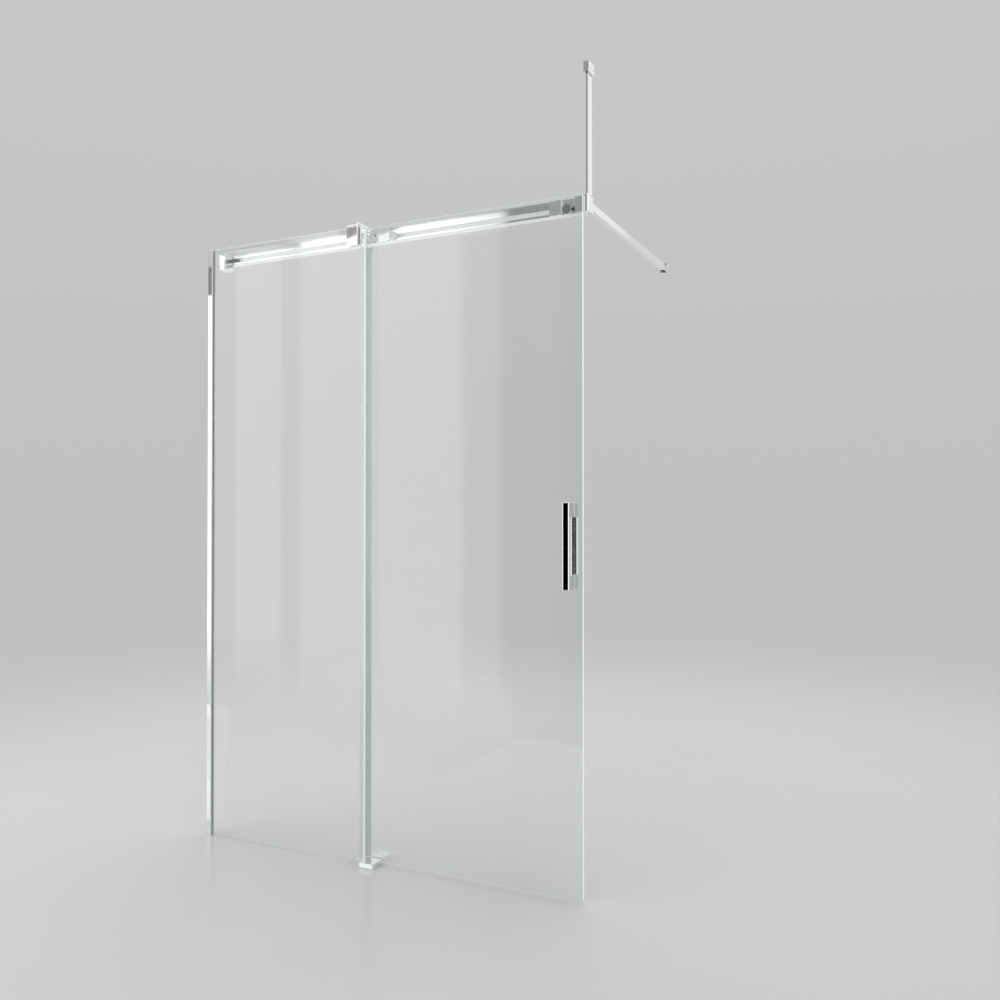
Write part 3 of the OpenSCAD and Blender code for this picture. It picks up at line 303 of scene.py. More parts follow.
def toughened_glass():
    made, tree, output = new_material("toughened_float_glass")
    wash = noise(tree, 140, stretch=(1, 1, 3))
    shader = add(tree, "ShaderNodeBsdfPrincipled", {
        "Base Color": blend_colours(tree, wash, "#fcfefd", "#fefefe"),
        "Roughness": between(tree, wash, 0.0, 0.006),
        "IOR": GLASS_IOR,
        "Transmission Weight": 1.0,
    })
    clear = add(tree, "ShaderNodeBsdfTransparent", {"Color": linear("#f6f9f8")})
    rays = add(tree, "ShaderNodeLightPath")
    mix = add(tree, "ShaderNodeMixShader",
              {0: rays.outputs["Is Shadow Ray"], 1: shader.outputs["BSDF"],
               2: clear.outputs["BSDF"]})
    body = add(tree, "ShaderNodeVolumeAbsorption",
               {"Color": linear("#a8dccd"), "Density": GLASS_DENSITY})
    tree.links.new(mix.outputs["Shader"], output.inputs["Surface"])
    tree.links.new(body.outputs["Volume"], output.inputs["Volume"])
    return made


GLASS = toughened_glass()
print(GLASS.name, "has an index of", GLASS_IOR)

# %% [markdown]
# ## Ground glass edges
# Before the glass is toughened, a diamond wheel grinds its edges, and a cork wheel takes off the
# worst of the roughness. Such an edge scatters all the light that runs inside the sheet, so it
# stands out as a bright line with a breath of green. A weak glow stands for that light.

# %% Ground edges
GRIND_MM = 1.5
EDGE_GLOW = 0.24


def ground_edge():
    made, tree, output = new_material("ground_glass_edge")
    grind = noise(tree, GRIND_MM)
    shader = add(tree, "ShaderNodeBsdfPrincipled", {
        "Base Color": blend_colours(tree, grind, "#eef8f5", "#f8fcfa"),
        "Roughness": between(tree, grind, 0.16, 0.28),
        "IOR": GLASS_IOR,
        "Normal": bump(tree, grind, 0.01),
        "Emission Color": linear("#eef8f5"),
        "Emission Strength": EDGE_GLOW,
    })
    tree.links.new(shader.outputs["BSDF"], output.inputs["Surface"])
    return made


EDGE = ground_edge()
print(EDGE.name, "has grind marks of", GRIND_MM, "mm")

# %% [markdown]
# ## Plastics and rubber
# The door's seal, the washers and the gaskets are clear flexible PVC, so they are glassy but a
# little milky; the gaskets are the thickest and the milkiest. A thin clear film bonds each
# carriage to the door. Tyres, bushings and the guide's liner are moulded white acetal with a
# dull skin. The bumpers in the rail are black EPDM rubber, matt and faintly grained, and its
# stops are black acetal.

# %% Plastics and rubber
SKIN_MM = 2.5
GRAIN_MM = 0.6


def clear_plastic(name, first, second, alpha, roughness):
    """A thin clear plastic: what lies behind shows through unbent, under a faint milky skin
    that covers the share alpha of it, and a gloss."""
    made, tree, output = new_material(name)
    milk = noise(tree, 12, stretch=(1, 1, 20))
    shader = add(tree, "ShaderNodeBsdfPrincipled", {
        "Base Color": blend_colours(tree, milk, first, second),
        "Roughness": between(tree, milk, *roughness),
        "IOR": 1.53,
        "Alpha": alpha,
    })
    tree.links.new(shader.outputs["BSDF"], output.inputs["Surface"])
    return made


def moulded(name, first, second, roughness, grain_mm, depth_mm):
    """A moulded or pressed plastic or rubber: two close colours, a roughness range, a grain."""
    made, tree, output = new_material(name)
    skin = noise(tree, SKIN_MM)
    grain = noise(tree, grain_mm)
    shader = add(tree, "ShaderNodeBsdfPrincipled", {
        "Base Color": blend_colours(tree, skin, first, second),
        "Roughness": between(tree, skin, *roughness),
        "IOR": 1.5,
        "Normal": bump(tree, grain, depth_mm),
    })
    tree.links.new(shader.outputs["BSDF"], output.inputs["Surface"])
    return made


PVC = clear_plastic("clear_extruded_pvc", "#f6f8f8", "#fdfefe", 0.4, (0.1, 0.18))
MILKY = clear_plastic("milky_gasket_pvc", "#f0f2f2", "#f8f9f9", 0.75, (0.2, 0.3))
BOND = clear_plastic("clear_bonding_film", "#e6e9e9", "#f0f2f2", 0.12, (0.2, 0.3))
ACETAL = moulded("moulded_white_acetal", "#e6e5e0", "#efeeea", (0.3, 0.42), GRAIN_MM, 0.01)
BLACK_ACETAL = moulded("moulded_black_acetal", "#131415", "#1b1c1e", (0.28, 0.4), GRAIN_MM, 0.01)
RUBBER = moulded("black_epdm_rubber", "#1a1a1b", "#262627", (0.55, 0.75), GRAIN_MM, 0.03)
print("plastics:", PVC.name, ACETAL.name, BLACK_ACETAL.name, RUBBER.name)

# %% [markdown]
# ## Finishes of the CAD pieces
# Each node of the frame names a material slot in the record. One table from slot to finish
# dresses every piece, so that nothing is left in a plain colour.

# %% Dress the nodes
FINISH = {
    "chrome": CHROME,
    "bright_rail": ALUMINIUM,
    "steel": STEEL,
    "glass": GLASS,
    "clear_seal": PVC,
    "black_rubber": RUBBER,
    "black_plastic": BLACK_ACETAL,
    "white_nylon": ACETAL,
}
SLOT_OF = {part["node"]: part["material_slot"] for part in frame["record"]["subparts"]}
for name, piece in NODES.items():
    piece.data.materials.clear()
    piece.data.materials.append(FINISH[SLOT_OF[name]])
NODES["carriage_pads"].data.materials[0] = BOND
NODES["clamp_gaskets"].data.materials[0] = MILKY
print("dressed", len(NODES), "nodes with", len(FINISH), "finishes")

# %% [markdown]
# ## Softened metal
# A cast and polished block has no knife edges: the buffing wheel rounds each one to a few
# tenths of a millimetre, and that round is what catches the light as a thin bright line. Each
# metal piece is taken over from the CAD with its doubled points merged and its flat triangles
# joined, and every edge sharper than 20 degrees gets a narrow round. Two pieces keep their
# triangles: joined into one face around a bore, these would fold over as the edges are rounded.

# %% Softened metal
FLAT_ANGLE = 0.4
SHARP_ANGLE = 20
KEPT_TRIANGLES = ("end_block", "guide_rear_jaw")


def smooth_sides(mesh, sharp_angle=32):
    """Shades all faces smoothly, apart from edges sharper than sharp_angle degrees."""
    mesh.polygons.foreach_set("use_smooth", np.ones(len(mesh.polygons), bool))
    mesh.set_sharp_from_angle(angle=math.radians(sharp_angle))


def keep_flat(piece):
    """Large faces stay flat beside rounded edges: a corner's normal follows the largest face."""
    even = piece.modifiers.new("flat_faces_stay_flat", "WEIGHTED_NORMAL")
    even.keep_sharp = True
    even.weight = 100


def joined_copy(name, source, flat_angle=FLAT_ANGLE):
    """A new object with the source's shape: points closer than 2 um are merged, and triangles
    that lie within flat_angle degrees of one plane become one face, unless it is zero."""
    mesh = source.data.copy()
    mesh.name = name
    shape = bmesh.new()
    shape.from_mesh(mesh)
    bmesh.ops.remove_doubles(shape, verts=shape.verts, dist=2e-6)
    if flat_angle:
        bmesh.ops.dissolve_limit(shape, angle_limit=math.radians(flat_angle),
                                 verts=shape.verts, edges=shape.edges)
    bmesh.ops.recalc_face_normals(shape, faces=shape.faces)
    shape.to_mesh(mesh)
    shape.free()
    made = bpy.data.objects.new(name, mesh)
    bpy.context.scene.collection.objects.link(made)
    return made


def soften(node, round_mm, steps=3):
    """Puts a copy of the node with edges rounded to round_mm in the node's place."""
    keep = node in KEPT_TRIANGLES
    made = joined_copy(node + "_soft", NODES[node], 0 if keep else FLAT_ANGLE)
    wheel = made.modifiers.new("buffed_edges", "BEVEL")
    wheel.width = round_mm * MM
    wheel.segments = steps
    wheel.limit_method = "ANGLE"
    wheel.angle_limit = math.radians(SHARP_ANGLE)
    wheel.use_clamp_overlap = True
    wheel.harden_normals = not keep
    smooth_sides(made.data)
    if keep:
        keep_flat(made)
    take_over(made, node)
    return made


def take_over(piece, *nodes):
    """Lets a modelled piece stand for CAD nodes: it rides on their body and names their slot."""
    piece.data.materials.clear()
    piece.data.materials.append(FINISH[SLOT_OF[nodes[0]]])
    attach(piece, BODY_OF[nodes[0]])
    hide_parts(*nodes)


BODY_OF = {node: body for body, nodes in frame["record"]["behaviour"]["bodies"].items()
           for node in nodes}
SOFT_EDGES_MM = {
    "profile_cap": 0.4, "rail_bracket_body": 0.9, "clamp_body": 0.8, "clamp_rear_jaw": 0.5,
    "end_block": 1.0, "ceiling_sleeve": 0.5, "wall_sleeve": 0.5,
    "guide_base": 0.3, "guide_front_block": 0.5, "guide_rear_jaw": 0.6,
    "carriage_left_block": 0.9, "carriage_right_block": 0.9, "carriage_left_hanger": 0.3,
    "carriage_right_hanger": 0.3, "carriage_caps": 0.6, "handle_outer": 0.4,
    "handle_inner": 0.4, "adjusting_screws": 0.25, "lock_screws": 0.25,
}
softened = {node: soften(node, width) for node, width in SOFT_EDGES_MM.items()}
# The caps take the nickel whose darker grey is painted shade.
softened["carriage_caps"].data.materials[0] = PAINTED_SHADE_NICKEL
print("softened", len(softened), "metal pieces")

# %% [markdown]
# ## Glass sheets
# The sheets keep their CAD shape, with its ground chamfers. A copy of each, with its points
# merged, carries two finishes: clear on the large faces, and ground on the edges that show.

# %% Glass sheets
def sheet(node):
    """A copy of the node. Its faces whose normal lies less than 0.9 along Y are ground, apart
    from those that look down or back along X: they sit on the floor or in profile and seal."""
    made = joined_copy(node + "_sheet", NODES[node])
    take_over(made, node)
    made.data.materials.append(EDGE)
    normals = np.empty(len(made.data.polygons) * 3)
    made.data.polygons.foreach_get("normal", normals)
    along_x, along_y, along_z = normals.reshape(-1, 3).T
    ground = (np.abs(along_y) < 0.9) & (along_x > -0.5) & (along_z > -0.5)
    made.data.polygons.foreach_set("material_index", ground.astype(np.int32))
    return made, int(ground.sum())


for node in ("fixed_glass", "door_glass"):
    print(node, "has", sheet(node)[1], "ground faces")

# %% [markdown]
# ## Drawn and extruded bars
# The rail, the wall profile, the post, the return bar and the gaskets all have one section
# along their whole length. Each is made from its section as a list of corners with a radius
# for each, because an extruder's die and a drawing die never leave a sharp corner.

# %% Bars from sections
ARC_STEPS = 5


def rounded(corners):
    """An outline from rows of (a, b, radius in mm), a and b in metres. At each corner the two
    sides meet in an arc that starts radius / tan(h) from the corner, where h is half the angle
    between the sides, and whose middle lies radius / sin(h) away on the line that halves it."""
    corners = np.array(corners, float)
    points, radii = corners[:, :2], corners[:, 2] * MM
    out = []
    for k in range(len(points)):
        p, before, after = points[k], points[k - 1], points[(k + 1) % len(points)]
        u, v = before - p, after - p
        u, v = u / np.linalg.norm(u), v / np.linalg.norm(v)
        h = math.acos(np.clip(u @ v, -1, 1)) / 2
        if radii[k] == 0 or h > math.radians(89):
            out.append(p)
            continue
        start, end = p + u * radii[k] / math.tan(h), p + v * radii[k] / math.tan(h)
        middle = p + (u + v) / np.linalg.norm(u + v) * radii[k] / math.sin(h)
        a, b = start - middle, end - middle
        turn = math.atan2(a[0] * b[1] - a[1] * b[0], a @ b)
        for s in np.linspace(0, 1, ARC_STEPS):
            c, d = math.cos(turn * s), math.sin(turn * s)
            out.append(middle + np.array([a[0] * c - a[1] * d, a[0] * d + a[1] * c]))
    return np.array(out)


def inset(outline, depth):
    """The outline moved inwards by depth: each point moves along the mean of its two sides'
    inward normals, further at corners by one over the cosine of half the turn."""
    before = outline - np.roll(outline, 1, axis=0)
    after = np.roll(outline, -1, axis=0) - outline
    sides = [np.stack([-s[:, 1], s[:, 0]], 1) / np.linalg.norm(s, axis=1)[:, None]
             for s in (before, after)]
    area = 0.5 * np.sum(outline[:, 0] * np.roll(outline[:, 1], -1)
                        - np.roll(outline[:, 0], -1) * outline[:, 1])
    mean = (sides[0] + sides[1]) * (1 if area > 0 else -1)
    mean /= np.maximum(np.sum(mean * mean, axis=1), 0.5)[:, None] / 2
    return outline + mean * depth


def bar(name, loops, axis, start, stop, round_mm=0.3, steps=3):
    """A closed bar along an axis: loops[0] is its outline and the rest are its hollows. At both
    ends the outline draws in along a quarter circle of radius r = round_mm: at angle a it is
    r (1 - cos a) from the end and r (1 - sin a) inside."""
    r = round_mm * MM
    turns = np.linspace(0, np.pi / 2, steps + 1)
    near = [(start + r * (1 - math.cos(a)), r * (1 - math.sin(a))) for a in turns]
    far = [(stop - (at - start), depth) for at, depth in reversed(near)]
    stations = near + far
    order = {"X": (2, 0, 1), "Y": (0, 2, 1), "Z": (0, 1, 2)}[axis]
    points, faces, first, caps = [], [], 0, ([], [])
    for number, loop in enumerate(loops):
        n = len(loop)
        for at, depth in stations:
            ring = inset(loop, depth) if number == 0 else loop
            flat = np.column_stack([ring, np.full(n, at)])
            points.append(flat[:, list(order)])
        i, j = np.meshgrid(np.arange(len(stations) - 1), np.arange(n), indexing="ij")
        k = (j + 1) % n
        faces += (first + np.stack([i * n + j, i * n + k, (i + 1) * n + k, (i + 1) * n + j], -1)
                  ).reshape(-1, 4).tolist()
        caps[0].append(list(range(first, first + n)))
        caps[1].append(list(range(first + (len(stations) - 1) * n, first + len(stations) * n)))
        first += len(stations) * n
    points = np.concatenate(points)
    for cap in caps:
        flat = [[Vector((*points[k][[o for o in range(3) if o != "XYZ".index(axis)]], 0.0))
                 for k in ring] for ring in cap]
        index = [k for ring in cap for k in ring]
        faces += [[index[c] for c in tri] for tri in tessellate_polygon(flat)]
    mesh = bpy.data.meshes.new(name)
    mesh.from_pydata(points.tolist(), [], faces)
    shape = bmesh.new()
    shape.from_mesh(mesh)
    bmesh.ops.recalc_face_normals(shape, faces=shape.faces)
    shape.to_mesh(mesh)
    shape.free()
    smooth_sides(mesh)
    made = bpy.data.objects.new(name, mesh)
    bpy.context.scene.collection.objects.link(made)
    keep_flat(made)
    return made


def box_of(node):
    """The node's lowest and highest corner, as two arrays."""
    low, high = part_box(node)
    return np.array(low, float), np.array(high, float)


print("an outline's corner gets", ARC_STEPS, "points")

# %% [markdown]
# ### Rail
# The rail's section has a channel for the rollers behind a narrow mouth, a tube above it and
# another behind it. Its top edges are bevelled, and the lips of the mouth are rolled over.

# %% Rail
low, high = box_of("rail")
RAIL_Y, RAIL_Z = low[1], low[2]
RAIL_D, RAIL_H = (high - low)[1:] / MM
MOUTH_Z = (7.5, 19.5)
CHAMBER_Y, CHAMBER_Z = (3.0, 16.0), (3.5, 24.0)
WEB = 2.5
TOP_WALL = 3.5


def rail_corners(rows):
    """Rows of (depth, height, radius) in mm inside the section, as places in the frame."""
    return [(RAIL_Y + y * MM, RAIL_Z + z * MM, r) for y, z, r in rows]


RAIL_OUTLINE = rail_corners([
    (0, 0, 1.7), (RAIL_D, 0, 1.7), (RAIL_D, RAIL_H - 2.5, 0.7), (RAIL_D - 2.5, RAIL_H, 0.7),
    (2.5, RAIL_H, 0.7), (0, RAIL_H - 2.5, 0.7), (0, MOUTH_Z[1], 1.3),
    (CHAMBER_Y[0], MOUTH_Z[1], 0.5), (CHAMBER_Y[0], CHAMBER_Z[1], 0.4),
    (CHAMBER_Y[1], CHAMBER_Z[1], 0.4), (CHAMBER_Y[1], CHAMBER_Z[0], 0.4),
    (CHAMBER_Y[0], CHAMBER_Z[0], 0.4), (CHAMBER_Y[0], MOUTH_Z[0], 0.5), (0, MOUTH_Z[0], 1.3),
])
RAIL_TUBES = [
    rail_corners([(WEB, CHAMBER_Z[1] + WEB, 0.6), (RAIL_D - WEB, CHAMBER_Z[1] + WEB, 0.6),
                  (RAIL_D - WEB, RAIL_H - TOP_WALL, 0.6), (WEB, RAIL_H - TOP_WALL, 0.6)]),
    rail_corners([(CHAMBER_Y[1] + WEB, WEB, 0.6), (RAIL_D - WEB, WEB, 0.6),
                  (RAIL_D - WEB, CHAMBER_Z[1] - WEB, 0.6),
                  (CHAMBER_Y[1] + WEB, CHAMBER_Z[1] - WEB, 0.6)]),
]
rail = bar("rail_extrusion", [rounded(RAIL_OUTLINE), *map(rounded, RAIL_TUBES)],
           "X", low[0], high[0], round_mm=0.2)
take_over(rail, "rail")
rail.data.materials.append(SATIN)
middles = np.empty(len(rail.data.polygons) * 3)
rail.data.polygons.foreach_get("center", middles)
depth, height = ((middles.reshape(-1, 3)[:, 1:] - (RAIL_Y, RAIL_Z)) / MM).T
channel = ((depth > CHAMBER_Y[0] - 0.5) & (depth < CHAMBER_Y[1] + 0.5)
           & (height > CHAMBER_Z[0] - 0.5) & (height < CHAMBER_Z[1] + 0.5))
rail.data.polygons.foreach_set("material_index", channel.astype(np.int32))
print("rail section", round(RAIL_D, 1), "by", round(RAIL_H, 1), "mm")

# %% [markdown]
# ### Wall profile and its gaskets
# A U of drawn brass holds the glass, and two clear wedges of PVC press it from both sides.
# Each wedge has a rounded bead that stands a little proud of the metal's edge.

# %% Wall profile and gaskets
low, high = box_of("wall_profile")
SIDE = 2 * MM
x0, x1, y0, y1 = low[0], high[0], low[1], high[1]
profile = bar("wall_profile_drawn", [rounded([
    (x0, y0, 0.3), (x1, y0, 0.6), (x1, y0 + SIDE, 0.5), (x0 + SIDE, y0 + SIDE, 0.4),
    (x0 + SIDE, y1 - SIDE, 0.4), (x1, y1 - SIDE, 0.5), (x1, y1, 0.6), (x0, y1, 0.3)])],
    "Z", low[2], high[2], round_mm=0.3)
take_over(profile, "wall_profile")

g_low, g_high = box_of("profile_gaskets")
glass_low, glass_high = box_of("fixed_glass")


def wedge(outer_y, inner_y):
    """A gasket's section: its heel is square and its free end is a round bead."""
    return rounded([(g_low[0], outer_y, 0.2), (g_high[0], outer_y, 1.2),
                    (g_high[0], inner_y, 1.2), (g_low[0], inner_y, 0.2)])


front_bead = bar("front_wedge", [wedge(g_low[1], glass_low[1])], "Z", g_low[2], g_high[2], 0.3)
back_bead = bar("back_wedge", [wedge(glass_high[1], g_high[1])], "Z", g_low[2], g_high[2], 0.3)
for bead in (front_bead, back_bead):
    take_over(bead, "profile_gaskets")
    bead.data.materials[0] = MILKY
print("wall profile", round((x1 - x0) / MM, 1), "mm wide, wedges", len(front_bead.data.polygons), "faces")

# %% [markdown]
# ### Post and return bar
# Both are drawn flat bars. The post is solid, and the return bar is a thin-walled tube.

# %% Post and return bar
def flat_bar(node, axis, corner_mm, end_mm, wall_mm=None):
    """A rectangular bar over the node's box, with rounded corners and, if given, a wall."""
    low, high = box_of(node)
    a, b = [k for k in range(3) if k != "XYZ".index(axis)]
    along = "XYZ".index(axis)
    outline = rounded([(low[a], low[b], corner_mm), (high[a], low[b], corner_mm),
                       (high[a], high[b], corner_mm), (low[a], high[b], corner_mm)])
    loops = [outline]
    if wall_mm:
        w = wall_mm * MM
        loops.append(rounded([(low[a] + w, low[b] + w, 0.4), (high[a] - w, low[b] + w, 0.4),
                              (high[a] - w, high[b] - w, 0.4), (low[a] + w, high[b] - w, 0.4)]))
    made = bar(node + "_drawn", loops, axis, low[along], high[along], end_mm)
    take_over(made, node)
    return made


post = flat_bar("ceiling_post", "Z", 1.6, 0.3)
return_bar = flat_bar("return_bar", "Y", 1.4, 0.3, wall_mm=1.5)
print("post and return bar made")

# %% [markdown]
# ### Door seal
# The seal is one extrusion of clear PVC: a soft clip over the edge of the door glass, and a
# thin fin that curves from it towards the fixed glass and keeps the water in.

# %% Door seal
low, high = box_of("door_seal")
door_low, door_high = box_of("door_glass")
FIN_ROOT = np.array([door_low[0] - 1.3 * MM, door_low[1] - 0.6 * MM])
FIN_TIP = np.array([low[0] + 0.3 * MM, low[1] + 0.15 * MM])
FIN_BOW = 2.6


def seal_section():
    """The fin's middle line runs from the root to the tip on a parabola that bows out by
    FIN_BOW mm at its middle, 4 s (1 - s) at the share s of its length; its thickness falls
    from 1.0 mm to 0.5 mm. The clip's corners are rounded."""
    s = np.linspace(0, 1, 14)[:, None]
    line = FIN_ROOT + (FIN_TIP - FIN_ROOT) * s
    line[:, :1] += FIN_BOW * MM * 4 * s * (1 - s)
    along = np.gradient(line, axis=0)
    side = np.stack([-along[:, 1], along[:, 0]], 1) / np.linalg.norm(along, axis=1)[:, None]
    half = (0.5 - 0.25 * s) * MM
    left, right = line - side * half, line + side * half
    x_in, x_out = high[0], low[0]
    y0, y1 = door_low[1], door_high[1]
    t = 0.95 * MM
    clip = rounded([(x_in, y0 - t, 0.35), (x_in, y0, 0.35), (door_low[0], y0, 0.1),
                    (door_low[0], y1, 0.1), (x_in, y1, 0.35), (x_in, y1 + t, 0.35),
                    (x_out, y1 + t, 0.9), (x_out, y0 - t, 0.2)])
    return left, right, clip


fin_a, fin_b, clip = seal_section()
fin_tip = FIN_TIP + (FIN_TIP - fin_a[-2]) / np.linalg.norm(FIN_TIP - fin_a[-2]) * 0.1 * MM
seal_clip = bar("seal_clip", [clip], "Z", low[2], high[2], round_mm=0.2)
seal_fin = bar("seal_fin", [np.concatenate([fin_a, fin_tip[None], fin_b[::-1]])], "Z",
               low[2], high[2], round_mm=0.1)
take_over(seal_clip, "door_seal")
take_over(seal_fin, "door_seal")
print("seal fin bows by", FIN_BOW, "mm")

# %% [markdown]
# ## Floor
# The screen stands on a pale floor with a soft shine, and nothing else is in the studio. The
# floor fades out with its distance from the screen, so that no horizon line is seen.

# %% Floor
FLOOR_R = 14.0
FLOOR_Z = -0.0005
FLOOR_IOR = 1.4
FLOOR_FADE = (1.6, 5.2)
FLOOR_MIDDLE = (0.7, 0.4)


def disc(name, radius, rings, sides, middle, z):
    """A flat disc: the point at ring i and side j lies at radius * i / rings and at the angle
    2 pi j / sides, and the innermost ring is closed by one polygon."""
    r = radius * np.arange(1, rings + 1) / rings
    a = 2 * np.pi * np.arange(sides) / sides
    x = middle[0] + np.outer(r, np.cos(a))
    y = middle[1] + np.outer(r, np.sin(a))
    points = np.stack([x, y, np.full_like(x, z)], axis=-1).reshape(-1, 3)
    i, j = np.meshgrid(np.arange(rings - 1), np.arange(sides), indexing="ij")
    k = (j + 1) % sides
    quads = np.stack([i * sides + j, (i + 1) * sides + j, (i + 1) * sides + k, i * sides + k], -1)
    mesh = bpy.data.meshes.new(name)
    mesh.from_pydata(points.tolist(), [], quads.reshape(-1, 4).tolist() + [list(range(sides))])
    made = bpy.data.objects.new(name, mesh)
    bpy.context.scene.collection.objects.link(made)
    return made


def floor_finish():
    made, tree, output = new_material("pale_floor")
    place = add(tree, "ShaderNodeTexCoord")
    back = (-FLOOR_MIDDLE[0], -FLOOR_MIDDLE[1], 0)
    centre = add(tree, "ShaderNodeMapping",
                 {"Vector": place.outputs["Object"], "Location": back})
    away = add(tree, "ShaderNodeVectorMath", {0: centre.outputs["Vector"]}, operation="LENGTH")
    fade = add(tree, "ShaderNodeMapRange",
               {"Value": away.outputs["Value"], "From Min": FLOOR_FADE[0], "From Max": FLOOR_FADE[1]},
               interpolation_type="SMOOTHSTEP")
    patches = noise(tree, 500)
    shader = add(tree, "ShaderNodeBsdfPrincipled", {
        "Base Color": blend_colours(tree, patches, "#d0d1d1", "#d4d5d5"),
        "Roughness": between(tree, patches, 0.16, 0.22),
        "IOR": FLOOR_IOR,
    })
    gone = add(tree, "ShaderNodeBsdfTransparent")
    mix = add(tree, "ShaderNodeMixShader",
              {0: fade.outputs["Result"], 1: shader.outputs["BSDF"], 2: gone.outputs["BSDF"]})
    tree.links.new(mix.outputs["Shader"], output.inputs["Surface"])
    return made


floor = disc("floor", FLOOR_R, 24, 96, FLOOR_MIDDLE, FLOOR_Z)
floor.data.materials.append(floor_finish())
print("floor disc of", FLOOR_R, "m radius")

# %% [markdown]
# ## Studio light
# Glass and chrome show the room more than themselves, so the light has two parts. Four large
# softboxes light the floor and the dull pieces. What the mirrors see is laid out apart, as a
# product photographer does with cards. A tall card on the left changes its light in bands, as
# a row of windows would, and ends in a black strip that gives the handle its black face. Over
# it hang grey cards with dark beams under them, which draw the thin dark line along the rail.
# Light strips lie on the floor, and a white card over a grey one stands behind for the faces
# that look along the rail. Cards far out on the left and on the right give the bevels their
# bright lines; the strip on the left one is for the handle's, and the floor doesn't mirror it.
# Everything is plain white light.

# %% Lights
def softbox(name, middle, aim, width, height, radiance):
    """A rectangular lamp that looks from middle to aim. Its power is radiance times pi times
    its area, and neither mirrors nor glass show it."""
    data = bpy.data.lights.new(name, "AREA")
    data.shape = "RECTANGLE"
    data.size = width
    data.size_y = height
    data.energy = radiance * math.pi * width * height
    made = bpy.data.objects.new(name, data)
    made.location = middle
    towards = np.array(aim, float) - np.array(middle, float)
    yaw = math.atan2(towards[0], -towards[1])
    tilt = math.atan2(towards[2], math.hypot(towards[0], towards[1]))
    made.rotation_euler = (math.radians(90) + tilt, 0, yaw + math.pi)
    made.visible_camera = False
    made.visible_glossy = False
    made.visible_transmission = False
    bpy.context.scene.collection.objects.link(made)
    return made


softbox("window_left", (-1.44, -3.0, 1.5), (-1.44, 0.0, 1.5), 2.31, 3.0, 1.8)
softbox("strip_left", (-3.1, -3.0, 1.38), (-3.1, 0.0, 1.38), 0.6, 2.75, 1.8)
softbox("window_behind", (4.6, 5.2, 2.2), (1.3, 0.4, 1.0), 3.0, 3.0, 1.2)
softbox("overhead", (0.8, 0.6, 4.6), (0.8, 0.601, 0.0), 3.6, 3.0, 1.05)


BRIGHTEST = 3.0
ROOM_H = 3.4
CARD_LIFT = 0.001
FLOOR_CARD_FROM = 0.008
HANDLE_FROM = 4.4


def card(name, corners, bands, fade=None, beyond=0.0):
    """A flat card that only mirrors see, over four corners. bands are rows of (x, radiance),
    and the light runs straight from row to row along X. fade is (axis, from, to): the card
    turns clear along that axis between the two places, on the curve 3 t t - 2 t t t. A ray that
    nothing has mirrored yet, also one through glass, goes straight on through the card, and so
    does one that comes from nearer than beyond metres."""
    mesh = bpy.data.meshes.new(name)
    mesh.from_pydata(corners, [], [(0, 1, 2, 3)])
    made = bpy.data.objects.new(name, mesh)
    finish, tree, output = new_material(name + "_light")
    place = add(tree, "ShaderNodeSeparateXYZ",
                {"Vector": add(tree, "ShaderNodeTexCoord").outputs["Object"]})
    x0, x1 = bands[0][0], bands[-1][0]
    along = add(tree, "ShaderNodeMapRange",
                {"Value": place.outputs["X"], "From Min": x0, "From Max": x1})
    ramp = add(tree, "ShaderNodeValToRGB", {"Fac": along.outputs["Result"]})
    stops = ramp.color_ramp.elements
    while len(stops) < len(bands):
        stops.new(0.5)
    for stop, (x, radiance) in zip(stops, bands):
        stop.position = (x - x0) / (x1 - x0)
        share = radiance / BRIGHTEST
        stop.color = (share, share, share, 1)
    surface = add(tree, "ShaderNodeEmission",
                  {"Color": ramp.outputs["Color"], "Strength": BRIGHTEST})
    rays = add(tree, "ShaderNodeLightPath")
    clear = add(tree, "ShaderNodeMath", {0: rays.outputs["Glossy Depth"], 1: 0.5},
                operation="LESS_THAN").outputs[0]
    if beyond:
        near = add(tree, "ShaderNodeMath", {0: rays.outputs["Ray Length"], 1: beyond},
                   operation="LESS_THAN")
        clear = add(tree, "ShaderNodeMath", {0: clear, 1: near.outputs[0]},
                    operation="MAXIMUM").outputs[0]
    if fade:
        axis, start, stop = fade
        share = add(tree, "ShaderNodeMapRange",
                    {"Value": place.outputs[axis], "From Min": start, "From Max": stop},
                    interpolation_type="SMOOTHSTEP")
        clear = add(tree, "ShaderNodeMath", {0: clear, 1: share.outputs["Result"]},
                    operation="MAXIMUM").outputs[0]
    surface = add(tree, "ShaderNodeMixShader",
                  {0: clear, 1: surface.outputs["Emission"],
                   2: add(tree, "ShaderNodeBsdfTransparent").outputs["BSDF"]})
    tree.links.new(surface.outputs[0], output.inputs["Surface"])
    mesh.materials.append(finish)
    made.visible_camera = False
    made.visible_diffuse = False
    made.visible_shadow = False
    bpy.context.scene.collection.objects.link(made)
    return made


def upright(y, x0, x1, z0, z1):
    """The corners of an upright card at one Y."""
    return [(x0, y, z0), (x1, y, z0), (x1, y, z1), (x0, y, z1)]


def side_card(name, x, y0, y1, radiance):
    """An upright card at one X, all of one light, as high as the room. Its foot fades out."""
    return card(name, [(x, y0, 0), (x + 0.01, y1, 0), (x + 0.01, y1, ROOM_H), (x, y0, ROOM_H)],
                [(x, radiance), (x + 0.01, radiance)], ("Z", 0.6, 0.25))


def floor_card(name, near, far, bands, fade=None):
    """A card on the floor between two edges that run along X, each given as (y, x0, x1). The
    floor right under it doesn't mirror it."""
    (y0, a, b), (y1, c, d) = near, far
    z = CARD_LIFT
    return card(name, [(a, y0, z), (b, y0, z), (d, y1, z), (c, y1, z)], bands, fade,
                beyond=FLOOR_CARD_FROM)


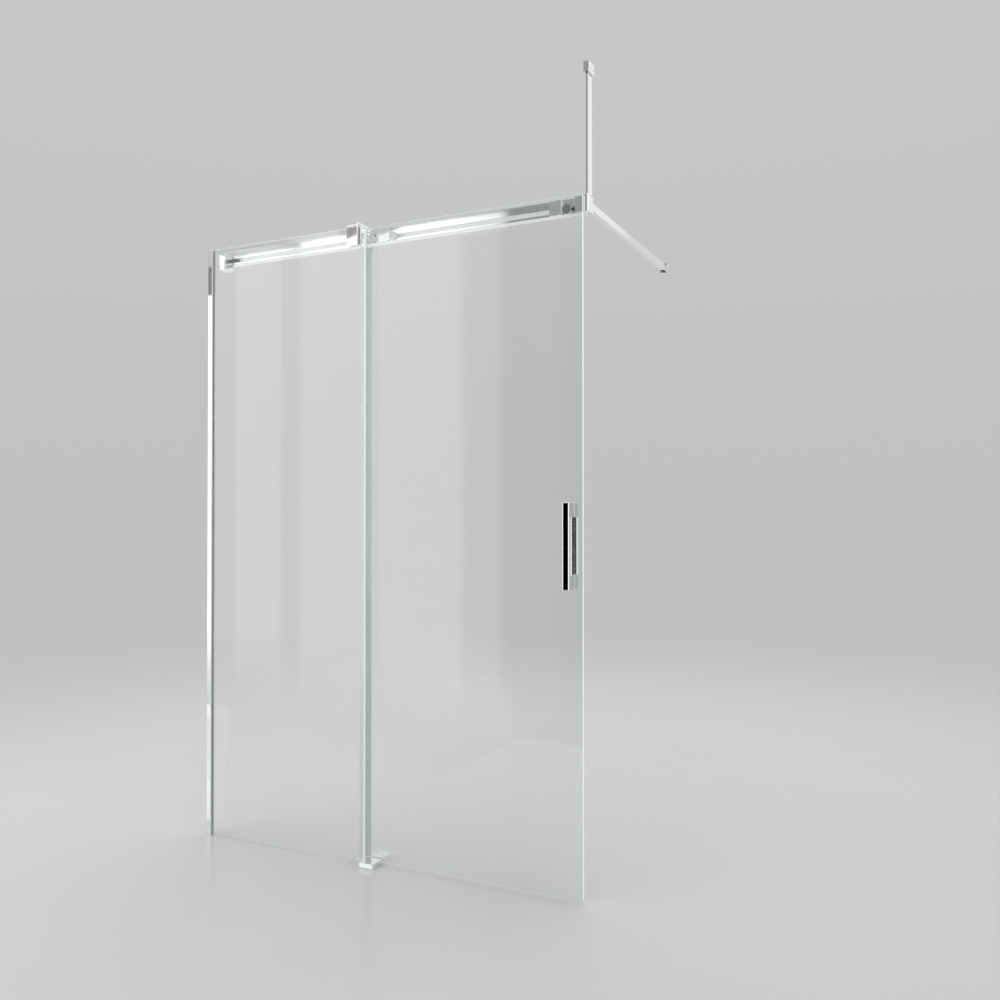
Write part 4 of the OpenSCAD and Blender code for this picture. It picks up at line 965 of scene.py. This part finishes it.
def slanted(name, left, right, bands, fade=None):
    """An upright card in front of the windows between two sides, each given as (x, z0, z1)."""
    (x0, a, b), (x1, c, d) = left, right
    return card(name, [(x0, FRONT_Y, a), (x1, FRONT_Y, c), (x1, FRONT_Y, d), (x0, FRONT_Y, b)],
                bands, fade)


CARD_Y = -1.6
FRONT_Y = CARD_Y + 0.01
WINDOWS = [(-1.7, 1.3), (-1.49, 1.3), (-1.47, 1.2), (-1.35, 1.2), (-1.31, 1.8), (-1.03, 1.8),
           (-1.0, 1.25), (-0.9, 1.2), (-0.85, 1.85), (-0.47, 1.8), (0.03, 1.78), (0.11, 0.97),
           (0.25, 0.95), (0.33, 0.2), (0.58, 0.2), (0.64, 0.0), (1.05, 0.0)]
card("windows", upright(CARD_Y, -1.7, 1.05, 0.0, 2.6), WINDOWS, ("Z", 0.5, 0.0))
card("dark_foot", upright(FRONT_Y, 0.36, 1.05, 0.0, 0.52),
     [(0.36, 0.2), (0.58, 0.2), (0.64, 0.0), (1.05, 0.0)])
card("window_bar", upright(FRONT_Y, -1.7, -1.475, 2.33, 2.49), [(-1.7, 0.24), (-1.475, 0.24)])
card("window_head", upright(FRONT_Y, -1.7, -1.475, 2.49, 3.0), [(-1.7, 0.57), (-1.475, 0.57)],
     ("Z", 2.8, 3.0))
slanted("beam_left", (-1.475, 2.57, 2.582), (-0.95, 2.562, 2.574), [(-1.475, 0.2), (-0.95, 0.15)])
slanted("pelmet_left", (-1.475, 2.582, 3.0), (-0.95, 2.574, 3.0), [(-1.475, 0.52), (-0.95, 0.52)],
        ("Z", 2.8, 3.0))
card("pelmet_middle", upright(FRONT_Y, -0.95, -0.62, 2.589, 3.0), [(-0.95, 0.5), (-0.62, 0.5)],
     ("Z", 2.8, 3.0))
slanted("beam_middle", (-0.62, 2.512, 2.596), (-0.3, 2.577, 2.596), [(-0.62, 0.38), (-0.3, 0.3)])
card("beam_right", upright(FRONT_Y, -0.3, 0.32, 2.583, 2.596), [(-0.3, 0.25), (0.32, 0.15)])
card("pelmet_right", upright(FRONT_Y, -0.62, -0.05, 2.596, 3.0), [(-0.62, 0.5), (-0.05, 0.58)],
     ("Z", 2.8, 3.0))
card("slat", upright(FRONT_Y + 0.01, -0.62, -0.45, 2.583, 2.595), [(-0.62, 1.1), (-0.45, 1.1)])
card("rail_card", upright(FRONT_Y, 0.05, 0.36, 2.48, 2.583),
     [(0.05, 1.6), (0.2, 1.3), (0.29, 1.1), (0.34, 0.34), (0.36, 0.3)])
card("grey_card", upright(FRONT_Y, -0.05, 0.38, 2.596, ROOM_H),
     [(-0.05, 0.6), (0.1, 0.42), (0.38, 0.36)], ("Z", 3.2, ROOM_H))
card("grey_corner", upright(FRONT_Y, 0.36, 1.05, 2.2, ROOM_H),
     [(0.36, 0.3), (0.6, 0.33), (1.05, 0.37)], ("Z", 2.53, 2.3))
floor_card("floor_strip", (-1.6, -1.8, 0.4), (-0.5, -1.8, 0.4),
           [(-1.8, 0.7), (0.0, 0.7), (0.4, 0.3)], ("Y", -1.5, -0.55))
floor_card("wall_strip", (-1.6, -1.8, -1.38), (-0.12, -0.3, -0.05),
           [(-1.8, 1.2), (-0.9, 1.1), (-0.3, 0.98), (-0.05, 0.9)])
floor_card("guide_card", (-0.07, 0.59, 0.69), (-0.021, 0.59, 0.69), [(0.59, 1.0), (0.69, 1.0)])
floor_card("floor_behind", (4.0, -6.0, -1.0), (9.0, -6.0, -1.0), [(-6.0, 0.85), (-1.0, 0.85)])
card("white_card", upright(4.2, 2.6, 4.4, 1.7, 4.6),
     [(2.6, 0.78), (2.75, 0.92), (3.65, 0.92), (3.75, 0.75), (4.4, 0.72)])
card("grey_behind", upright(4.2, 2.6, 4.4, 0.0, 1.7), [(2.6, 0.42), (4.4, 0.42)],
     ("Z", 0.5, 0.2))
side_card("left_card", -3.2, 1.4, 3.4, 0.75)
card("left_strip", [(-3.18, 1.7, 0.3), (-3.17, 2.0, 0.3), (-3.17, 2.0, 1.35), (-3.18, 1.7, 1.35)],
     [(-3.18, 2.2), (-3.17, 2.2)], beyond=HANDLE_FROM)
side_card("right_card", 3.4, -2.4, -0.5, 1.3)

# %% [markdown]
# ## Background
# The world lights the scene evenly, and what looks straight at it, or sees it in metal or
# through glass, finds a plain light grey that is a touch lighter overhead.

# %% World
world = bpy.data.worlds.new("studio")
bpy.context.scene.world = world
world.use_nodes = True
sky = world.node_tree
sky.nodes.clear()
sky_place = add(sky, "ShaderNodeTexCoord")
sky_height = add(sky, "ShaderNodeSeparateXYZ", {"Vector": sky_place.outputs["Generated"]})
sky_rise = add(sky, "ShaderNodeMapRange",
               {"Value": sky_height.outputs["Z"], "From Min": 0.0, "From Max": 0.45},
               interpolation_type="SMOOTHSTEP")
sky_seen = add(sky, "ShaderNodeBackground",
               {"Color": blend_colours(sky, sky_rise.outputs["Result"], "#c0c1c1", "#c6c7c7"),
                "Strength": 1.0})
sky_light = add(sky, "ShaderNodeBackground", {"Color": linear("#f4f4f4"), "Strength": 0.82})
sky_mirrored = add(sky, "ShaderNodeBackground",
                   {"Color": blend_colours(sky, sky_rise.outputs["Result"], "#d6d7d7", "#e0e0e1"),
                    "Strength": 1.0})
sky_rays = add(sky, "ShaderNodeLightPath")
sky_bounces = add(sky, "ShaderNodeMath",
                  {0: sky_rays.outputs["Glossy Depth"], 1: sky_rays.outputs["Diffuse Depth"]})
sky_unmirrored = add(sky, "ShaderNodeMath", {0: sky_bounces.outputs[0], 1: 0.5},
                     operation="LESS_THAN")
sky_through = add(sky, "ShaderNodeMath",
                  {0: sky_rays.outputs["Is Transmission Ray"], 1: sky_unmirrored.outputs[0]},
                  operation="MULTIPLY")
sky_straight = add(sky, "ShaderNodeMath",
                   {0: sky_rays.outputs["Is Camera Ray"], 1: sky_through.outputs[0]},
                   operation="MAXIMUM")
sky_indirect = add(sky, "ShaderNodeMixShader",
                   {0: sky_rays.outputs["Is Glossy Ray"], 1: sky_light.outputs[0],
                    2: sky_mirrored.outputs[0]})
sky_mix = add(sky, "ShaderNodeMixShader",
              {0: sky_straight.outputs[0], 1: sky_indirect.outputs[0], 2: sky_seen.outputs[0]})
sky_output = add(sky, "ShaderNodeOutputWorld", {"Surface": sky_mix.outputs[0]})
bpy.context.scene.view_settings.view_transform = "Standard"
print("world and", len(bpy.data.lights), "lamps ready")
